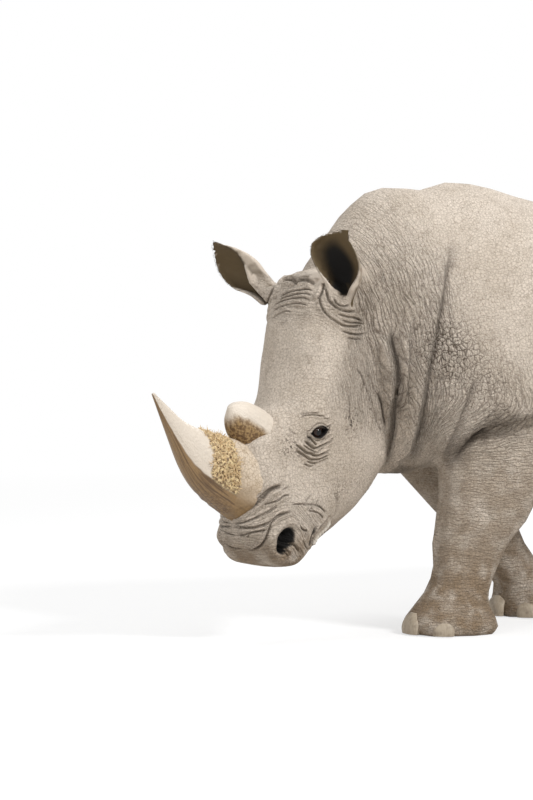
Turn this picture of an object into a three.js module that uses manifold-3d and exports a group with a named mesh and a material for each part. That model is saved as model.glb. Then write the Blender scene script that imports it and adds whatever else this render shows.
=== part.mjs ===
// White rhinoceros, life size: a walking animal with its head low and turned to its left.
// Millimetres, +Z up. The shapes are worked out in the animal's own frame, where X is
// forward, Y is its left and Z is up. The finished group is turned to face -X, with its
// origin on the floor below the middle of its bounding box.
import * as THREE from "three";
import { mergeVertices } from "three/addons/utils/BufferGeometryUtils.js";
import Module from "manifold-3d";

const wasm = await Module();
wasm.setup();

// ---- Driving dimensions -------------------------------------------------------------------
const gap = 0.3; // between neighbouring solids
const middleForward = 245; // the bounding box's middle in the animal's frame
const middleLeft = 0;
const beyond = 4000; // larger than the animal, for blocks that cut

const headPlace = { forward: 1141, left: 69, up: 1343, turn: 24, pitch: 65 };
const eye = { along: 573, side: 135, up: -127, radius: 24 };
const nostril = { along: 988, side: 122, up: -160, radii: [56, 26, 20], tilt: -24 };
const mouth = { along: [838, 1006], up: [-382, -308], side: 104, width: 11, depth: 30 };

// A plane across the neck passes through a point, leans forward and turns to the left.
const neckCut = { through: [770, 0, 1100], lean: 6, turn: 6 };
const headCut = { through: [985, 0, 1080], lean: 17, turn: 22 };

// A leg leaves the trunk at a plane that rises outwards from its inner height, between its
// hips [from, to]. Below the belly its space reaches further, over its whole stride.
const legCuts = {
  front: { inner: 535, rise: 0.58, hips: [130, 825], stride: [-320, 825] },
  hind: { inner: 620, rise: 0.62, hips: [-2000, -570], stride: [-2000, -320] },
};
const belly = 570; // lower than the trunk's lowest point
const legInside = 25; // the leg's space starts this far from the middle

// ---- Sections -----------------------------------------------------------------------------
// A section across a body. Top and low are [forward, up] points in its middle plane, half is
// its half width, level the height of its widest line as a share of the section, and over and
// under are the powers of the rounded curves above and below that line (2 is an ellipse, more
// is squarer). Left is where its middle lies, and turn its heading in degrees to the left.
function section(top, low, half, shape = {}) {
  const plain = { level: 0.5, over: 2, under: 2, left: 0, turn: 0 };
  return { topX: top[0], topZ: top[1], lowX: low[0], lowZ: low[1], half, ...plain, ...shape };
}

const torsoSections = [
  section([-1361, 1165], [-1361, 1055], 60),
  section([-1342, 1262], [-1347, 950], 190),
  section([-1285, 1385], [-1290, 845], 300, { over: 2.1, under: 2.3 }),
  section([-1190, 1500], [-1185, 770], 365, { level: 0.47, over: 2.1, under: 2.5 }),
  section([-1060, 1597], [-1045, 718], 412, { level: 0.44, over: 2.1, under: 2.6 }),
  section([-880, 1648], [-865, 672], 442, { level: 0.42, under: 2.6 }),
  section([-660, 1618], [-660, 636], 466, { level: 0.42, under: 2.4 }),
  section([-420, 1582], [-430, 604], 484, { level: 0.42, under: 2.3 }),
  section([-180, 1573], [-200, 594], 486, { level: 0.42, under: 2.3 }),
  section([40, 1603], [20, 603], 470, { level: 0.42, under: 2.4 }),
  section([235, 1646], [215, 625], 444, { level: 0.41, over: 1.9, under: 2.6 }),
  section([400, 1690], [400, 640], 420, { level: 0.4, over: 1.85, under: 2.7 }),
  section([530, 1700], [540, 634], 396, { level: 0.4, over: 1.8, under: 2.7 }),
  section([645, 1672], [650, 615], 366, { level: 0.42, over: 1.85, under: 2.5, turn: 1 }),
  section([750, 1678], [740, 592], 334, { level: 0.44, over: 1.9, under: 2.3, turn: 4 }),
  section([845, 1667], [800, 588], 302, { level: 0.47, over: 1.9, turn: 8 }),
  section([925, 1605], [842, 600], 268, { level: 0.5, over: 1.9, turn: 13 }),
  section([985, 1525], [862, 640], 234, { level: 0.55, turn: 18 }),
  section([1045, 1440], [880, 700], 214, { level: 0.62, over: 2.2, turn: 22 }),
  section([1085, 1370], [900, 780], 184, { level: 0.66, over: 2.4, turn: 24 }),
];

// The head is worked out along its own length, from the crown to the lips.
const headSections = [
  section([-62, -48], [290, -490], 112, { level: 0.64, over: 2.2, under: 2.5 }),
  section([30, 50], [450, -564], 164, { level: 0.66, over: 2.7, under: 3 }),
  section([165, 48], [555, -588], 172, { level: 0.66, over: 2.9, under: 3 }),
  section([285, 24], [627, -574], 172, { level: 0.66, over: 2.9, under: 3 }),
  section([395, -6], [686, -550], 170, { level: 0.66, over: 2.8, under: 2.9 }),
  section([500, -14], [740, -521], 162, { level: 0.62, over: 2.5, under: 2.8 }),
  section([600, 12], [792, -487], 149, { level: 0.56, over: 2.1, under: 2.7 }),
  section([700, 60], [838, -453], 136, { level: 0.48, over: 1.8, under: 2.6 }),
  section([800, 86], [880, -415], 128, { level: 0.42, over: 1.7, under: 2.7 }),
  section([900, 74], [918, -377], 125, { level: 0.4, over: 1.8, under: 3 }),
  section([980, 30], [962, -342], 127, { level: 0.42, over: 2.1, under: 3.4 }),
  section([1034, -34], [1008, -313], 130, { level: 0.46, over: 2.5, under: 3.6 }),
  section([1066, -106], [1048, -280], 122, { level: 0.5, over: 3, under: 3.4 }),
  section([1078, -158], [1070, -238], 100, { level: 0.5, over: 3, under: 3 }),
];

// On a horn the top points run up its front edge and the low points up its rear edge.
const frontHornSections = [
  section([990, 10], [700, 10], 84),
  section([984, 100], [714, 100], 84),
  section([974, 190], [730, 195], 80),
  section([953, 275], [750, 282], 68),
  section([915, 352], [760, 360], 54),
  section([861, 432], [762, 432], 38),
  section([796, 527], [748, 514], 21),
  section([740, 606], [731, 600], 6),
];
const rearHornSections = [
  section([732, 45], [564, -40], 62, { over: 2.2, under: 2.2 }),
  section([726, 112], [562, 30], 61, { over: 2.2, under: 2.2 }),
  section([706, 160], [562, 92], 54, { over: 2.2, under: 2.2 }),
  section([670, 194], [572, 150], 38, { over: 2.2, under: 2.2 }),
  section([626, 213], [592, 190], 14),
];

// On a leg the top points run down its front edge and the low points down its rear edge.
// Reach is [front, rear] and span [inner, outer], at a height.
function across(height, reach, span, power = 2.2) {
  const shape = { over: power, under: power, left: (span[0] + span[1]) / 2 };
  return section([reach[0], height], [reach[1], height], (span[1] - span[0]) / 2, shape);
}

const nearForeleg = [
  across(1000, [590, 330], [210, 320]),
  across(880, [650, 262], [140, 362]),
  across(780, [676, 232], [96, 388], 2.3),
  across(690, [678, 222], [86, 398], 2.4),
  across(590, [668, 240], [90, 396], 2.4),
  across(500, [672, 282], [100, 382], 2.3),
  across(410, [684, 332], [112, 360]),
  across(330, [692, 396], [120, 338]),
  across(250, [688, 438], [122, 326]),
  across(170, [710, 474], [114, 332]),
  across(105, [764, 478], [94, 350]),
  across(50, [800, 455], [72, 372], 2.4),
  across(14, [802, 450], [70, 374], 2.4),
  across(0, [790, 462], [82, 362], 2.4),
];
const farForeleg = [
  across(1000, [600, 340], [210, 320]),
  across(880, [672, 262], [140, 362]),
  across(780, [694, 222], [96, 388], 2.3),
  across(690, [660, 190], [86, 398], 2.4),
  across(590, [598, 158], [90, 396], 2.4),
  across(500, [516, 135], [98, 376], 2.3),
  across(415, [436, 118], [105, 350]),
  across(335, [362, 95], [112, 325]),
  across(250, [284, 48], [112, 312]),
  across(170, [216, -12], [98, 312]),
  across(105, [182, -85], [76, 328]),
  across(50, [192, -130], [56, 344], 2.4),
  across(14, [194, -132], [54, 346], 2.4),
  across(0, [182, -120], [64, 336], 2.4),
];
const nearHindleg = [
  across(1150, [-880, -1160], [200, 345]),
  across(1030, [-770, -1265], [130, 402]),
  across(900, [-710, -1318], [80, 432], 2.3),
  across(780, [-726, -1326], [68, 432], 2.4),
  across(670, [-812, -1322], [80, 408], 2.4),
  across(570, [-912, -1330], [96, 372]),
  across(480, [-1000, -1352], [110, 342]),
  across(400, [-1050, -1344], [118, 328]),
  across(320, [-1062, -1300], [122, 318]),
  across(240, [-1056, -1272], [122, 316]),
  across(165, [-1036, -1262], [115, 324]),
  across(100, [-1000, -1266], [98, 342]),
  across(48, [-978, -1286], [84, 356], 2.4),
  across(14, [-978, -1288], [84, 356], 2.4),
  across(0, [-990, -1276], [94, 346], 2.4),
];
const farHindleg = [
  across(1150, [-860, -1160], [200, 345]),
  across(1030, [-730, -1260], [130, 402]),
  across(900, [-640, -1300], [80, 432], 2.3),
  across(780, [-596, -1248], [68, 432], 2.4),
  across(670, [-588, -1150], [80, 408], 2.4),
  across(570, [-598, -1052], [96, 372]),
  across(480, [-630, -998], [110, 342]),
  across(400, [-656, -950], [118, 328]),
  across(320, [-655, -892], [122, 318]),
  across(240, [-634, -850], [122, 316]),
  across(165, [-598, -822], [115, 324]),
  across(100, [-548, -806], [98, 342]),
  across(48, [-508, -812], [84, 356], 2.4),
  across(14, [-506, -812], [84, 356], 2.4),
  across(0, [-518, -800], [94, 346], 2.4),
];

// Each foot stands round a middle point, with the nails set on an oval about it.
const legs = {
  front_left: { pair: "front", side: 1, sections: nearForeleg, foot: [626, 222] },
  front_right: { pair: "front", side: -1, sections: farForeleg, foot: [31, 200] },
  hind_left: { pair: "hind", side: 1, sections: nearHindleg, foot: [-1133, 220] },
  hind_right: { pair: "hind", side: -1, sections: farHindleg, foot: [-659, 220] },
};

const tailSections = [
  section([-1270, 1370], [-1275, 1270], 50),
  section([-1345, 1330], [-1320, 1250], 44),
  section([-1398, 1240], [-1340, 1205], 34),
  section([-1415, 1100], [-1362, 1095], 28),
  section([-1425, 950], [-1382, 950], 23),
  section([-1432, 800], [-1396, 800], 19),
  section([-1438, 710], [-1398, 710], 22),
  section([-1432, 640], [-1404, 640], 14),
  section([-1424, 612], [-1416, 612], 4),
];

// ---- Swellings ----------------------------------------------------------------------------
// Each one pushes the surface within its reach, by a bell curve, on both sides of the middle.
const torsoSwellings = [
  { at: [400, 330, 1330], reach: 170, push: [0, 18, 0] }, // shoulder blade
  { at: [480, 390, 850], reach: 200, push: [0, 52, 0] }, // upper arm
  { at: [180, 470, 1080], reach: 150, push: [0, -16, 0] }, // hollow behind the shoulder
  { at: [-640, 440, 1300], reach: 190, push: [0, -26, 0] }, // hollow of the flank
  { at: [-860, 300, 1500], reach: 130, push: [0, 22, 16] }, // point of the hip
  { at: [-990, 410, 920], reach: 250, push: [0, 52, 0] }, // thigh
];
const headSwellings = [
  { at: [545, 128, -52], reach: 62, push: [0, 14, 12] }, // brow
  { at: [590, 165, -190], reach: 70, push: [0, -8, 0] }, // hollow under the eye
  { at: [360, 190, -180], reach: 110, push: [0, 12, 0] }, // cheekbone
  { at: [50, 150, -60], reach: 90, push: [-10, 24, 10] }, // mound under the ear
  { at: [520, 120, -500], reach: 90, push: [0, 14, -6] }, // jaw angle
  { at: [975, 130, -95], reach: 60, push: [0, 12, 4] }, // rim of the nostril
  { at: [760, 135, -120], reach: 90, push: [0, -10, 0] }, // side of the nose
  { at: [705, 55, 55], reach: 58, push: [0, 6, 30] }, // rim between the horns
  { at: [1074, 108, -150], reach: 46, push: [10, 16, 0] }, // corner of the lips
];

// ---- Ears ---------------------------------------------------------------------------------
// An ear is a scoop: a thick C across its axis, nearly closed at the root and open above. Up is
// the way from the root to the tip and face the way it opens, both as [forward, left, up], and
// bend how far the shift of its sections is followed.
const ears = {
  left: { root: [1062, 176, 1226], up: [0.16, 0.46, 1], face: [0.65, 0.8, -0.45], bend: 1 },
  right: { root: [1229, -66, 1261], up: [0.61, -0.56, 0.7], face: [1, 0.32, -0.58], bend: 0.6 },
};
const earThickness = [10, 5]; // at the root and at the tip
function earSection(height, width, depth, wrap, shift) {
  return { height, width, depth, wrap, shift };
}
// Height along the axis, width, depth, wrap in degrees either side, and shift across it.
const earSections = [
  earSection(0, 86, 98, 168, 0),
  earSection(60, 96, 102, 162, 0),
  earSection(95, 122, 112, 150, -2),
  earSection(130, 158, 122, 130, -10),
  earSection(165, 180, 116, 114, -22),
  earSection(205, 184, 102, 101, -38),
  earSection(245, 160, 84, 90, -47),
  earSection(280, 108, 58, 80, -40),
  earSection(305, 58, 36, 74, -16),
  earSection(320, 20, 14, 70, 4),
];

// ---- Nails --------------------------------------------------------------------------------
// Three on each foot, set round an oval about the foot's middle. Angle is from straight ahead.
const nailRing = { forward: 180, side: 158, sink: 40 };
const nails = {
  inner: { angle: -56, half: 40, height: 66 },
  middle: { angle: 0, half: 58, height: 82 },
  outer: { angle: 56, half: 42, height: 68 },
};

// ---- Surfaces -----------------------------------------------------------------------------
// Sections between the given ones, on a smooth curve through all their values.
function between(sections, steps) {
  const names = Object.keys(sections[0]);
  const middle = (s) => new THREE.Vector2((s.topX + s.lowX) / 2, (s.topZ + s.lowZ) / 2);
  const places = [0];
  for (let i = 1; i < sections.length; i += 1) {
    const step = middle(sections[i]).distanceTo(middle(sections[i - 1]));
    const growth = Math.abs(sections[i].half - sections[i - 1].half);
    places.push(places[i - 1] + Math.hypot(step, growth));
  }
  const values = sections.flatMap((s) => names.map((name) => s[name]));
  const curve = new THREE.CubicInterpolant(places, values, names.length);
  const rows = [];
  for (let i = 0; i < (sections.length - 1) * steps + 1; i += 1) {
    const span = Math.min(Math.floor(i / steps), sections.length - 2);
    const share = i / steps - span;
    const row = curve.evaluate(places[span] * (1 - share) + places[span + 1] * share);
    rows.push(Object.fromEntries(names.map((name, k) => [name, row[k]])));
  }
  return rows;
}

function power(value, exponent) {
  return Math.sign(value) * Math.abs(value) ** exponent;
}

// The points round one section: a superellipse whose halves meet at the widest line.
function outline(s, around, grow) {
  const up = new THREE.Vector2(s.topX - s.lowX, s.topZ - s.lowZ);
  const size = up.length();
  up.normalize();
  const heading = THREE.MathUtils.degToRad(s.turn);
  const points = [];
  for (let k = 0; k < around; k += 1) {
    const angle = (2 * Math.PI * k) / around;
    const bend = 2 / (Math.sin(angle) > 0 ? s.over : s.under);
    const reach = Math.sin(angle) > 0 ? size * (1 - s.level) : size * s.level;
    const rise = (reach + grow) * power(Math.sin(angle), bend) + size * (s.level - 0.5);
    const side = (s.half + grow) * power(Math.cos(angle), bend);
    const ahead = rise * up.x;
    const x = (s.topX + s.lowX) / 2 + ahead * Math.cos(heading) - side * Math.sin(heading);
    const y = s.left + ahead * Math.sin(heading) + side * Math.cos(heading);
    points.push(new THREE.Vector3(x, y, (s.topZ + s.lowZ) / 2 + rise * up.y));
  }
  return points;
}

// Joins rings of points into one closed surface. Each end is closed by a fan about its middle,
// or, on a thick C, by a strip from its outer curve to its inner one.
function stitch(rings, endAsStrip = false) {
  const around = rings[0].length;
  const points = rings.flat();
  const faces = [];
  for (let i = 0; i < rings.length - 1; i += 1) {
    for (let k = 0; k < around; k += 1) {
      const a = i * around + k;
      const b = i * around + ((k + 1) % around);
      faces.push(a, b, b + around, a, b + around, a + around);
    }
  }
  for (const last of [false, true]) {
    const start = last ? (rings.length - 1) * around : 0;
    const face = (a, b, c) => (last ? faces.push(a, b, c) : faces.push(a, c, b));
    if (endAsStrip) {
      for (let k = 0; k < around / 2 - 1; k += 1) {
        const far = start + around - 1 - k;
        face(start + k, start + k + 1, far - 1);
        face(start + k, far - 1, far);
      }
    } else {
      const ring = rings[last ? rings.length - 1 : 0];
      const middle = new THREE.Vector3();
      ring.forEach((point) => middle.addScaledVector(point, 1 / around));
      points.push(middle);
      for (let k = 0; k < around; k += 1) {
        face(start + k, start + ((k + 1) % around), points.length - 1);
      }
    }
  }
  const geometry = new THREE.BufferGeometry().setFromPoints(points);
  geometry.setIndex(faces);
  return geometry;
}

// The surface through a row of sections. Grow makes it that much larger all over, for the
// socket of a piece that is let into another.
function body(sections, { around = 24, steps = 2, grow = 0, swellings = [] } = {}) {
  const rings = between(sections, steps).map((s) => outline(s, around, grow));
  if (grow > 0) {
    for (const [end, next] of [[rings[0], rings[1]], [rings.at(-1), rings.at(-2)]]) {
      const middles = [end, next].map((ring) => new THREE.Box3().setFromPoints(ring)
        .getCenter(new THREE.Vector3()));
      const away = middles[0].clone().sub(middles[1]).setLength(grow);
      end.forEach((point) => point.add(away));
    }
  }
  for (const point of rings.flat()) {
    const still = point.clone();
    for (const { at, reach, push } of swellings) {
      for (const side of [1, -1]) {
        const from = new THREE.Vector3(at[0], at[1] * side, at[2]).distanceTo(still);
        const share = Math.exp(-((from / reach) ** 2));
        point.addScaledVector(new THREE.Vector3(push[0], push[1] * side, push[2]), share);
      }
    }
  }
  return stitch(rings);
}

// ---- Solids -------------------------------------------------------------------------------
function solid(geometry, matrix) {
  const bare = geometry.clone();
  bare.deleteAttribute("normal");
  bare.deleteAttribute("uv");
  if (matrix) bare.applyMatrix4(matrix);
  const merged = mergeVertices(bare, 1e-4);
  const place = merged.getAttribute("position");
  const faces = Uint32Array.from(merged.getIndex().array);
  const corner = (i) => new THREE.Vector3().fromBufferAttribute(place, i);
  let volume = 0;
  for (let i = 0; i < faces.length; i += 3) {
    const [a, b, c] = [corner(faces[i]), corner(faces[i + 1]), corner(faces[i + 2])];
    volume += a.dot(b.cross(c));
  }
  if (volume < 0) faces.reverse();
  const vertices = Float32Array.from(place.array);
  return new wasm.Manifold(new wasm.Mesh({ numProp: 3, vertProperties: vertices,
    triVerts: faces }));
}

function union(solids) {
  return solids.reduce((all, one) => all.add(one));
}

const headMatrix = new THREE.Matrix4()
  .makeTranslation(headPlace.forward, headPlace.left, headPlace.up)
  .multiply(new THREE.Matrix4().makeRotationZ(THREE.MathUtils.degToRad(headPlace.turn)))
  .multiply(new THREE.Matrix4().makeRotationY(THREE.MathUtils.degToRad(headPlace.pitch)));

function inHead(geometry) {
  return solid(geometry, headMatrix);
}

// Everything ahead of a plane, or, with a shift, ahead of it by that much.
function ahead({ through, lean, turn }, shift = 0) {
  const block = new THREE.BoxGeometry(beyond, beyond, beyond);
  block.translate(beyond / 2 + shift, 0, 0);
  block.rotateY(THREE.MathUtils.degToRad(lean));
  block.rotateZ(THREE.MathUtils.degToRad(turn));
  block.translate(...through);
  return solid(block);
}

// A block on one side of the middle, between two places along the animal. Its top is at the
// height inner and rises outwards.
function sideBlock(side, [from, to], inner, rise) {
  const shape = new THREE.Shape();
  shape.moveTo(legInside * side, -beyond);
  shape.lineTo(beyond * side, -beyond);
  shape.lineTo(beyond * side, inner + rise * beyond);
  shape.lineTo(legInside * side, inner + rise * legInside);
  const block = new THREE.ExtrudeGeometry(shape, { depth: to - from, bevelEnabled: false });
  const turned = new THREE.Matrix4().makeBasis(
    new THREE.Vector3(0, 1, 0), new THREE.Vector3(0, 0, 1), new THREE.Vector3(1, 0, 0));
  block.applyMatrix4(turned);
  block.translate(from, 0, 0);
  return solid(block);
}

// The space of one leg, under the planes that part it from the trunk. Wider takes that much
// more all round, for the space that the trunk leaves to it.
function legBlock({ pair, side }, wider = 0) {
  const { inner, rise, hips, stride } = legCuts[pair];
  const more = [-wider, wider];
  const upper = sideBlock(side, hips.map((end, i) => end + more[i]), inner + wider, rise);
  const lower = sideBlock(side, stride.map((end, i) => end + more[i]), belly + wider, 0);
  return upper.add(lower);
}

function makeNostril(side) {
  const recess = new THREE.SphereGeometry(1, 10, 6);
  recess.scale(...nostril.radii);
  recess.rotateY(THREE.MathUtils.degToRad(nostril.tilt));
  recess.translate(nostril.along, nostril.side * side, nostril.up);
  return recess;
}

// The mouth's line shows as a thin lens let into the side of the lips.
function makeMouth(side) {
  const [rear, front] = mouth.along;
  const line = new THREE.SphereGeometry(1, 8, 4);
  line.scale((front - rear) / 2, mouth.depth, mouth.width / 2);
  line.rotateY(-Math.atan2(mouth.up[1] - mouth.up[0], front - rear));
  line.translate((front + rear) / 2, mouth.side * side, (mouth.up[0] + mouth.up[1]) / 2);
  return line;
}

function makeEar({ root, up, face, bend }, grow = 0) {
  const high = new THREE.Vector3(...up).normalize();
  const wide = new THREE.Vector3().crossVectors(high, new THREE.Vector3(...face)).normalize();
  const open = new THREE.Vector3().crossVectors(wide, high);
  const tall = earSections.at(-1).height;
  const count = 6;
  const rings = earSections.map((s, i) => {
    const thick = THREE.MathUtils.lerp(...earThickness, s.height / tall);
    const wrap = THREE.MathUtils.degToRad(s.wrap) + (2 * grow) / s.width;
    const lift = i === 0 ? -grow : 0;
    const ring = [];
    for (const inside of [false, true]) {
      const less = inside ? thick + grow : -grow;
      for (let k = 0; k <= count; k += 1) {
        const angle = wrap * ((2 * k) / count - 1) * (inside ? -1 : 1);
        const sideways = bend * s.shift + Math.max(s.width / 2 - less, 1) * Math.sin(angle);
        const out = -Math.max(s.depth / 2 - less, 1) * Math.cos(angle);
        ring.push(new THREE.Vector3(...root).addScaledVector(high, s.height + lift)
          .addScaledVector(wide, sideways).addScaledVector(open, out));
      }
    }
    return ring;
  });
  return stitch(rings, true);
}

// A nail is a plate bent round the front of a toe, low on its sides and highest in the middle.
// Its rows are [share of its height, how far its front stands out, share of its half width].
function makeNail({ side, foot }, { angle, half, height }, grow = 0) {
  const rows = [[0.05, 9, 0.95], [0.42, 9, 1], [0.75, -2, 0.8], [1, -14, 0.34]];
  const sections = rows.map(([share, out, width]) => {
    const up = share * height;
    return section([out, up], [out - nailRing.sink, up], half * width, { level: 0.35, over: 2.6 });
  });
  const plate = body(sections, { around: 8, steps: 1, grow });
  const way = THREE.MathUtils.degToRad(angle * side);
  plate.rotateZ(way);
  const forward = foot[0] + nailRing.forward * Math.cos(way);
  plate.translate(forward, foot[1] * side + nailRing.side * Math.sin(way), 0);
  return plate;
}

// ---- The whole animal, then its parts -----------------------------------------------------
function mirrored(sections, side) {
  return sections.map((s) => ({ ...s, left: s.left * side }));
}

const skull = [1, -1].reduce(
  (all, side) => all.subtract(inHead(makeNostril(side))).subtract(inHead(makeMouth(side))),
  inHead(body(headSections, { around: 24, steps: 2, swellings: headSwellings })));
const limbs = Object.values(legs).map((leg) =>
  solid(body(mirrored(leg.sections, leg.side), { around: 16, steps: 1 })));
const torso = solid(body(torsoSections, { around: 24, steps: 1, swellings: torsoSwellings }));
const flesh = union([torso, skull, ...limbs]);
const upper = Object.values(legs).reduce(
  (rest, leg) => rest.subtract(legBlock(leg, gap)), flesh);

const solids = {
  trunk: upper.subtract(ahead(neckCut)),
  neck: upper.intersect(ahead(neckCut, gap)).subtract(ahead(headCut)),
  head: upper.intersect(ahead(headCut, gap)),
};
for (const [name, leg] of Object.entries(legs)) {
  solids[`leg_${name}`] = flesh.intersect(legBlock(leg));
}

// Lets one piece into another: the host gets a socket and keeps its gap to the piece.
function letIn(name, host, make) {
  solids[host] = solids[host].subtract(make(gap));
  solids[name] = make(0);
}

function makeFrontHorn(grow) {
  return inHead(body(frontHornSections, { around: 16, steps: 1, grow }));
}

letIn("tail", "trunk", (grow) => solid(body(tailSections, { around: 8, steps: 1, grow })));
letIn("horn_front", "head", makeFrontHorn);
letIn("horn_rear", "head", (grow) =>
  inHead(body(rearHornSections, { around: 12, steps: 1, grow })));
solids.horn_rear = solids.horn_rear.subtract(makeFrontHorn(gap)); // it stands close behind
for (const [side, ear] of Object.entries(ears)) {
  letIn(`ear_${side}`, "head", (grow) => solid(makeEar(ear, grow)));
}
for (const [name, side] of [["left", 1], ["right", -1]]) {
  letIn(`eye_${name}`, "head", (grow) => {
    const ball = new THREE.SphereGeometry(eye.radius + grow, 10, 7);
    ball.translate(eye.along, eye.side * side, eye.up);
    return inHead(ball);
  });
}
for (const [name, leg] of Object.entries(legs)) {
  for (const [toe, nail] of Object.entries(nails)) {
    letIn(`nail_${name}_${toe}`, `leg_${name}`, (grow) => solid(makeNail(leg, nail, grow)));
  }
}

// ---- Finished meshes ----------------------------------------------------------------------
const finishes = {
  skin: { color: "#b5a797", roughness: 0.85 },
  horn: { color: "#a69787", roughness: 0.6 },
  nail: { color: "#a89b8a", roughness: 0.7 },
  eye: { color: "#17110d", roughness: 0.1 },
};
const materials = Object.fromEntries(Object.entries(finishes).map(([name, finish]) =>
  [name, new THREE.MeshStandardMaterial({ ...finish, metalness: 0, flatShading: true })]));

function finishOf(name) {
  return Object.keys(finishes).find((finish) => name.startsWith(finish)) ?? "skin";
}

const rhinoceros = new THREE.Group();
for (const [name, piece] of Object.entries(solids)) {
  const { vertProperties, triVerts } = piece.getMesh();
  const geometry = new THREE.BufferGeometry();
  geometry.setAttribute("position", new THREE.BufferAttribute(vertProperties, 3));
  geometry.setIndex(new THREE.BufferAttribute(triVerts, 1));
  const mesh = new THREE.Mesh(geometry, materials[finishOf(name)]);
  mesh.name = name;
  rhinoceros.add(mesh);
}
rhinoceros.rotation.z = Math.PI;
rhinoceros.position.set(middleForward, middleLeft, 0);

export default rhinoceros;
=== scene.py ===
# White rhinoceros, life size: a walking animal with its head low and turned to its left.
# The shapes are worked out in the animal's own frame, in millimetres: forward, left and up.
# The finished meshes face -X, in metres, on the floor at z = 0.
import bpy
import numpy as np
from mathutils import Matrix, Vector
from mathutils.bvhtree import BVHTree


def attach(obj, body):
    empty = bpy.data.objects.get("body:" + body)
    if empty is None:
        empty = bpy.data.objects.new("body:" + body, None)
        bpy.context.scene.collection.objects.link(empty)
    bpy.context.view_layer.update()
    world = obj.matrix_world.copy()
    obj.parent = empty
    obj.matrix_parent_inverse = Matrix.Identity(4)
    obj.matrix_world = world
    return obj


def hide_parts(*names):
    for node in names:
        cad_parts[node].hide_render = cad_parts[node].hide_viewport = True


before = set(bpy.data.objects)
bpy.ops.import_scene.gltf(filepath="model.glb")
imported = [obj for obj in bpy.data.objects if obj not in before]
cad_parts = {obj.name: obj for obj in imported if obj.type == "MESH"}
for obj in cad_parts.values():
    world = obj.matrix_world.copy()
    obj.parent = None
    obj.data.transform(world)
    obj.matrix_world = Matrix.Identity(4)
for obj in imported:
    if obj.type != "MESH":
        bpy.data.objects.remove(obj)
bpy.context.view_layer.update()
print("frame loaded")

mm = 0.001
middleForward = 245
headPlace = {"at": (1141, 69, 1343), "turn": 24, "pitch": 65}


# Animal frame to metres: both level axes turn round, and the middle moves over the origin.
def toMetres(points):
    return (points * (-1, -1, 1) + (middleForward, 0, 0)) * mm


# Head frame (along the head, left, out of the forehead) to the animal frame: a turn about the
# left axis by the pitch, then about the upright by the turn, then the shift to the crown.
def headAxes():
    turn, pitch = np.radians([headPlace["turn"], headPlace["pitch"]])
    along = np.array([np.cos(turn) * np.cos(pitch), np.sin(turn) * np.cos(pitch), -np.sin(pitch)])
    left = np.array([-np.sin(turn), np.cos(turn), 0])
    out = np.array([np.cos(turn) * np.sin(pitch), np.sin(turn) * np.sin(pitch), np.cos(pitch)])
    return np.array([along, left, out])


def fromHead(points):
    return points @ headAxes() + headPlace["at"]


def toHead(points):
    return (points - headPlace["at"]) @ headAxes().T


def section(top, low, half, level=0.5, over=2, under=2, left=0, turn=0):
    return (*top, *low, half, left, level, over, under, turn)


def across(height, reach, span, power=2.2):
    left = (span[0] + span[1]) / 2
    return section((reach[0], height), (reach[1], height), (span[1] - span[0]) / 2,
                   over=power, under=power, left=left)


# Rows between the given ones, at even steps of place: a cubic through every value, with the
# slope at each row taken from its neighbours.
def spline(rows, place, count):
    rows = np.array(rows, float)
    step = np.diff(place)
    slope = np.gradient(rows, place, axis=0)
    at = np.linspace(place[0], place[-1], count)
    k = np.clip(np.searchsorted(place, at, side="right") - 1, 0, len(step) - 1)
    t = ((at - place[k]) / step[k])[:, None]
    width = step[k][:, None]
    return ((2 * t**3 - 3 * t**2 + 1) * rows[k] + (t**3 - 2 * t**2 + t) * width * slope[k]
            + (3 * t**2 - 2 * t**3) * rows[k + 1] + (t**3 - t**2) * width * slope[k + 1])


# Sections between the given ones, by the distance between their middles.
def between(rows, count):
    rows = np.array(rows, float)
    middle = (rows[:, 0:2] + rows[:, 2:4]) / 2
    step = np.hypot(np.linalg.norm(np.diff(middle, axis=0), axis=1), np.abs(np.diff(rows[:, 4])))
    return spline(rows, np.concatenate([[0], np.cumsum(step)]), count)


# A body through sections: round each one runs a superellipse, x = half * cos^(2/n) and
# z = reach * sin^(2/n), with its own power n and reach above and below the widest line.
def loft(rows, along, around):
    r = between(rows, along)
    angle = np.linspace(0, 2 * np.pi, around, endpoint=False)
    up = r[:, 0:2] - r[:, 2:4]
    size = np.linalg.norm(up, axis=1)[:, None]
    up = up / size
    sine, cosine = np.sin(angle)[None, :], np.cos(angle)[None, :]
    level = r[:, 6:7]
    bend = 2 / np.where(sine > 0, r[:, 7:8], r[:, 8:9])
    reach = np.where(sine > 0, size * (1 - level), size * level)
    rise = reach * np.sign(sine) * np.abs(sine) ** bend + size * (level - 0.5)
    side = r[:, 4:5] * np.sign(cosine) * np.abs(cosine) ** bend
    heading = np.radians(r[:, 9:10])
    ahead = rise * up[:, 0:1]
    middle = (r[:, 0:2] + r[:, 2:4]) / 2
    return np.stack([middle[:, 0:1] + ahead * np.cos(heading) - side * np.sin(heading),
                     r[:, 5:6] + ahead * np.sin(heading) + side * np.cos(heading),
                     middle[:, 1:2] + rise * up[:, 1:2]], axis=-1)


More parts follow.
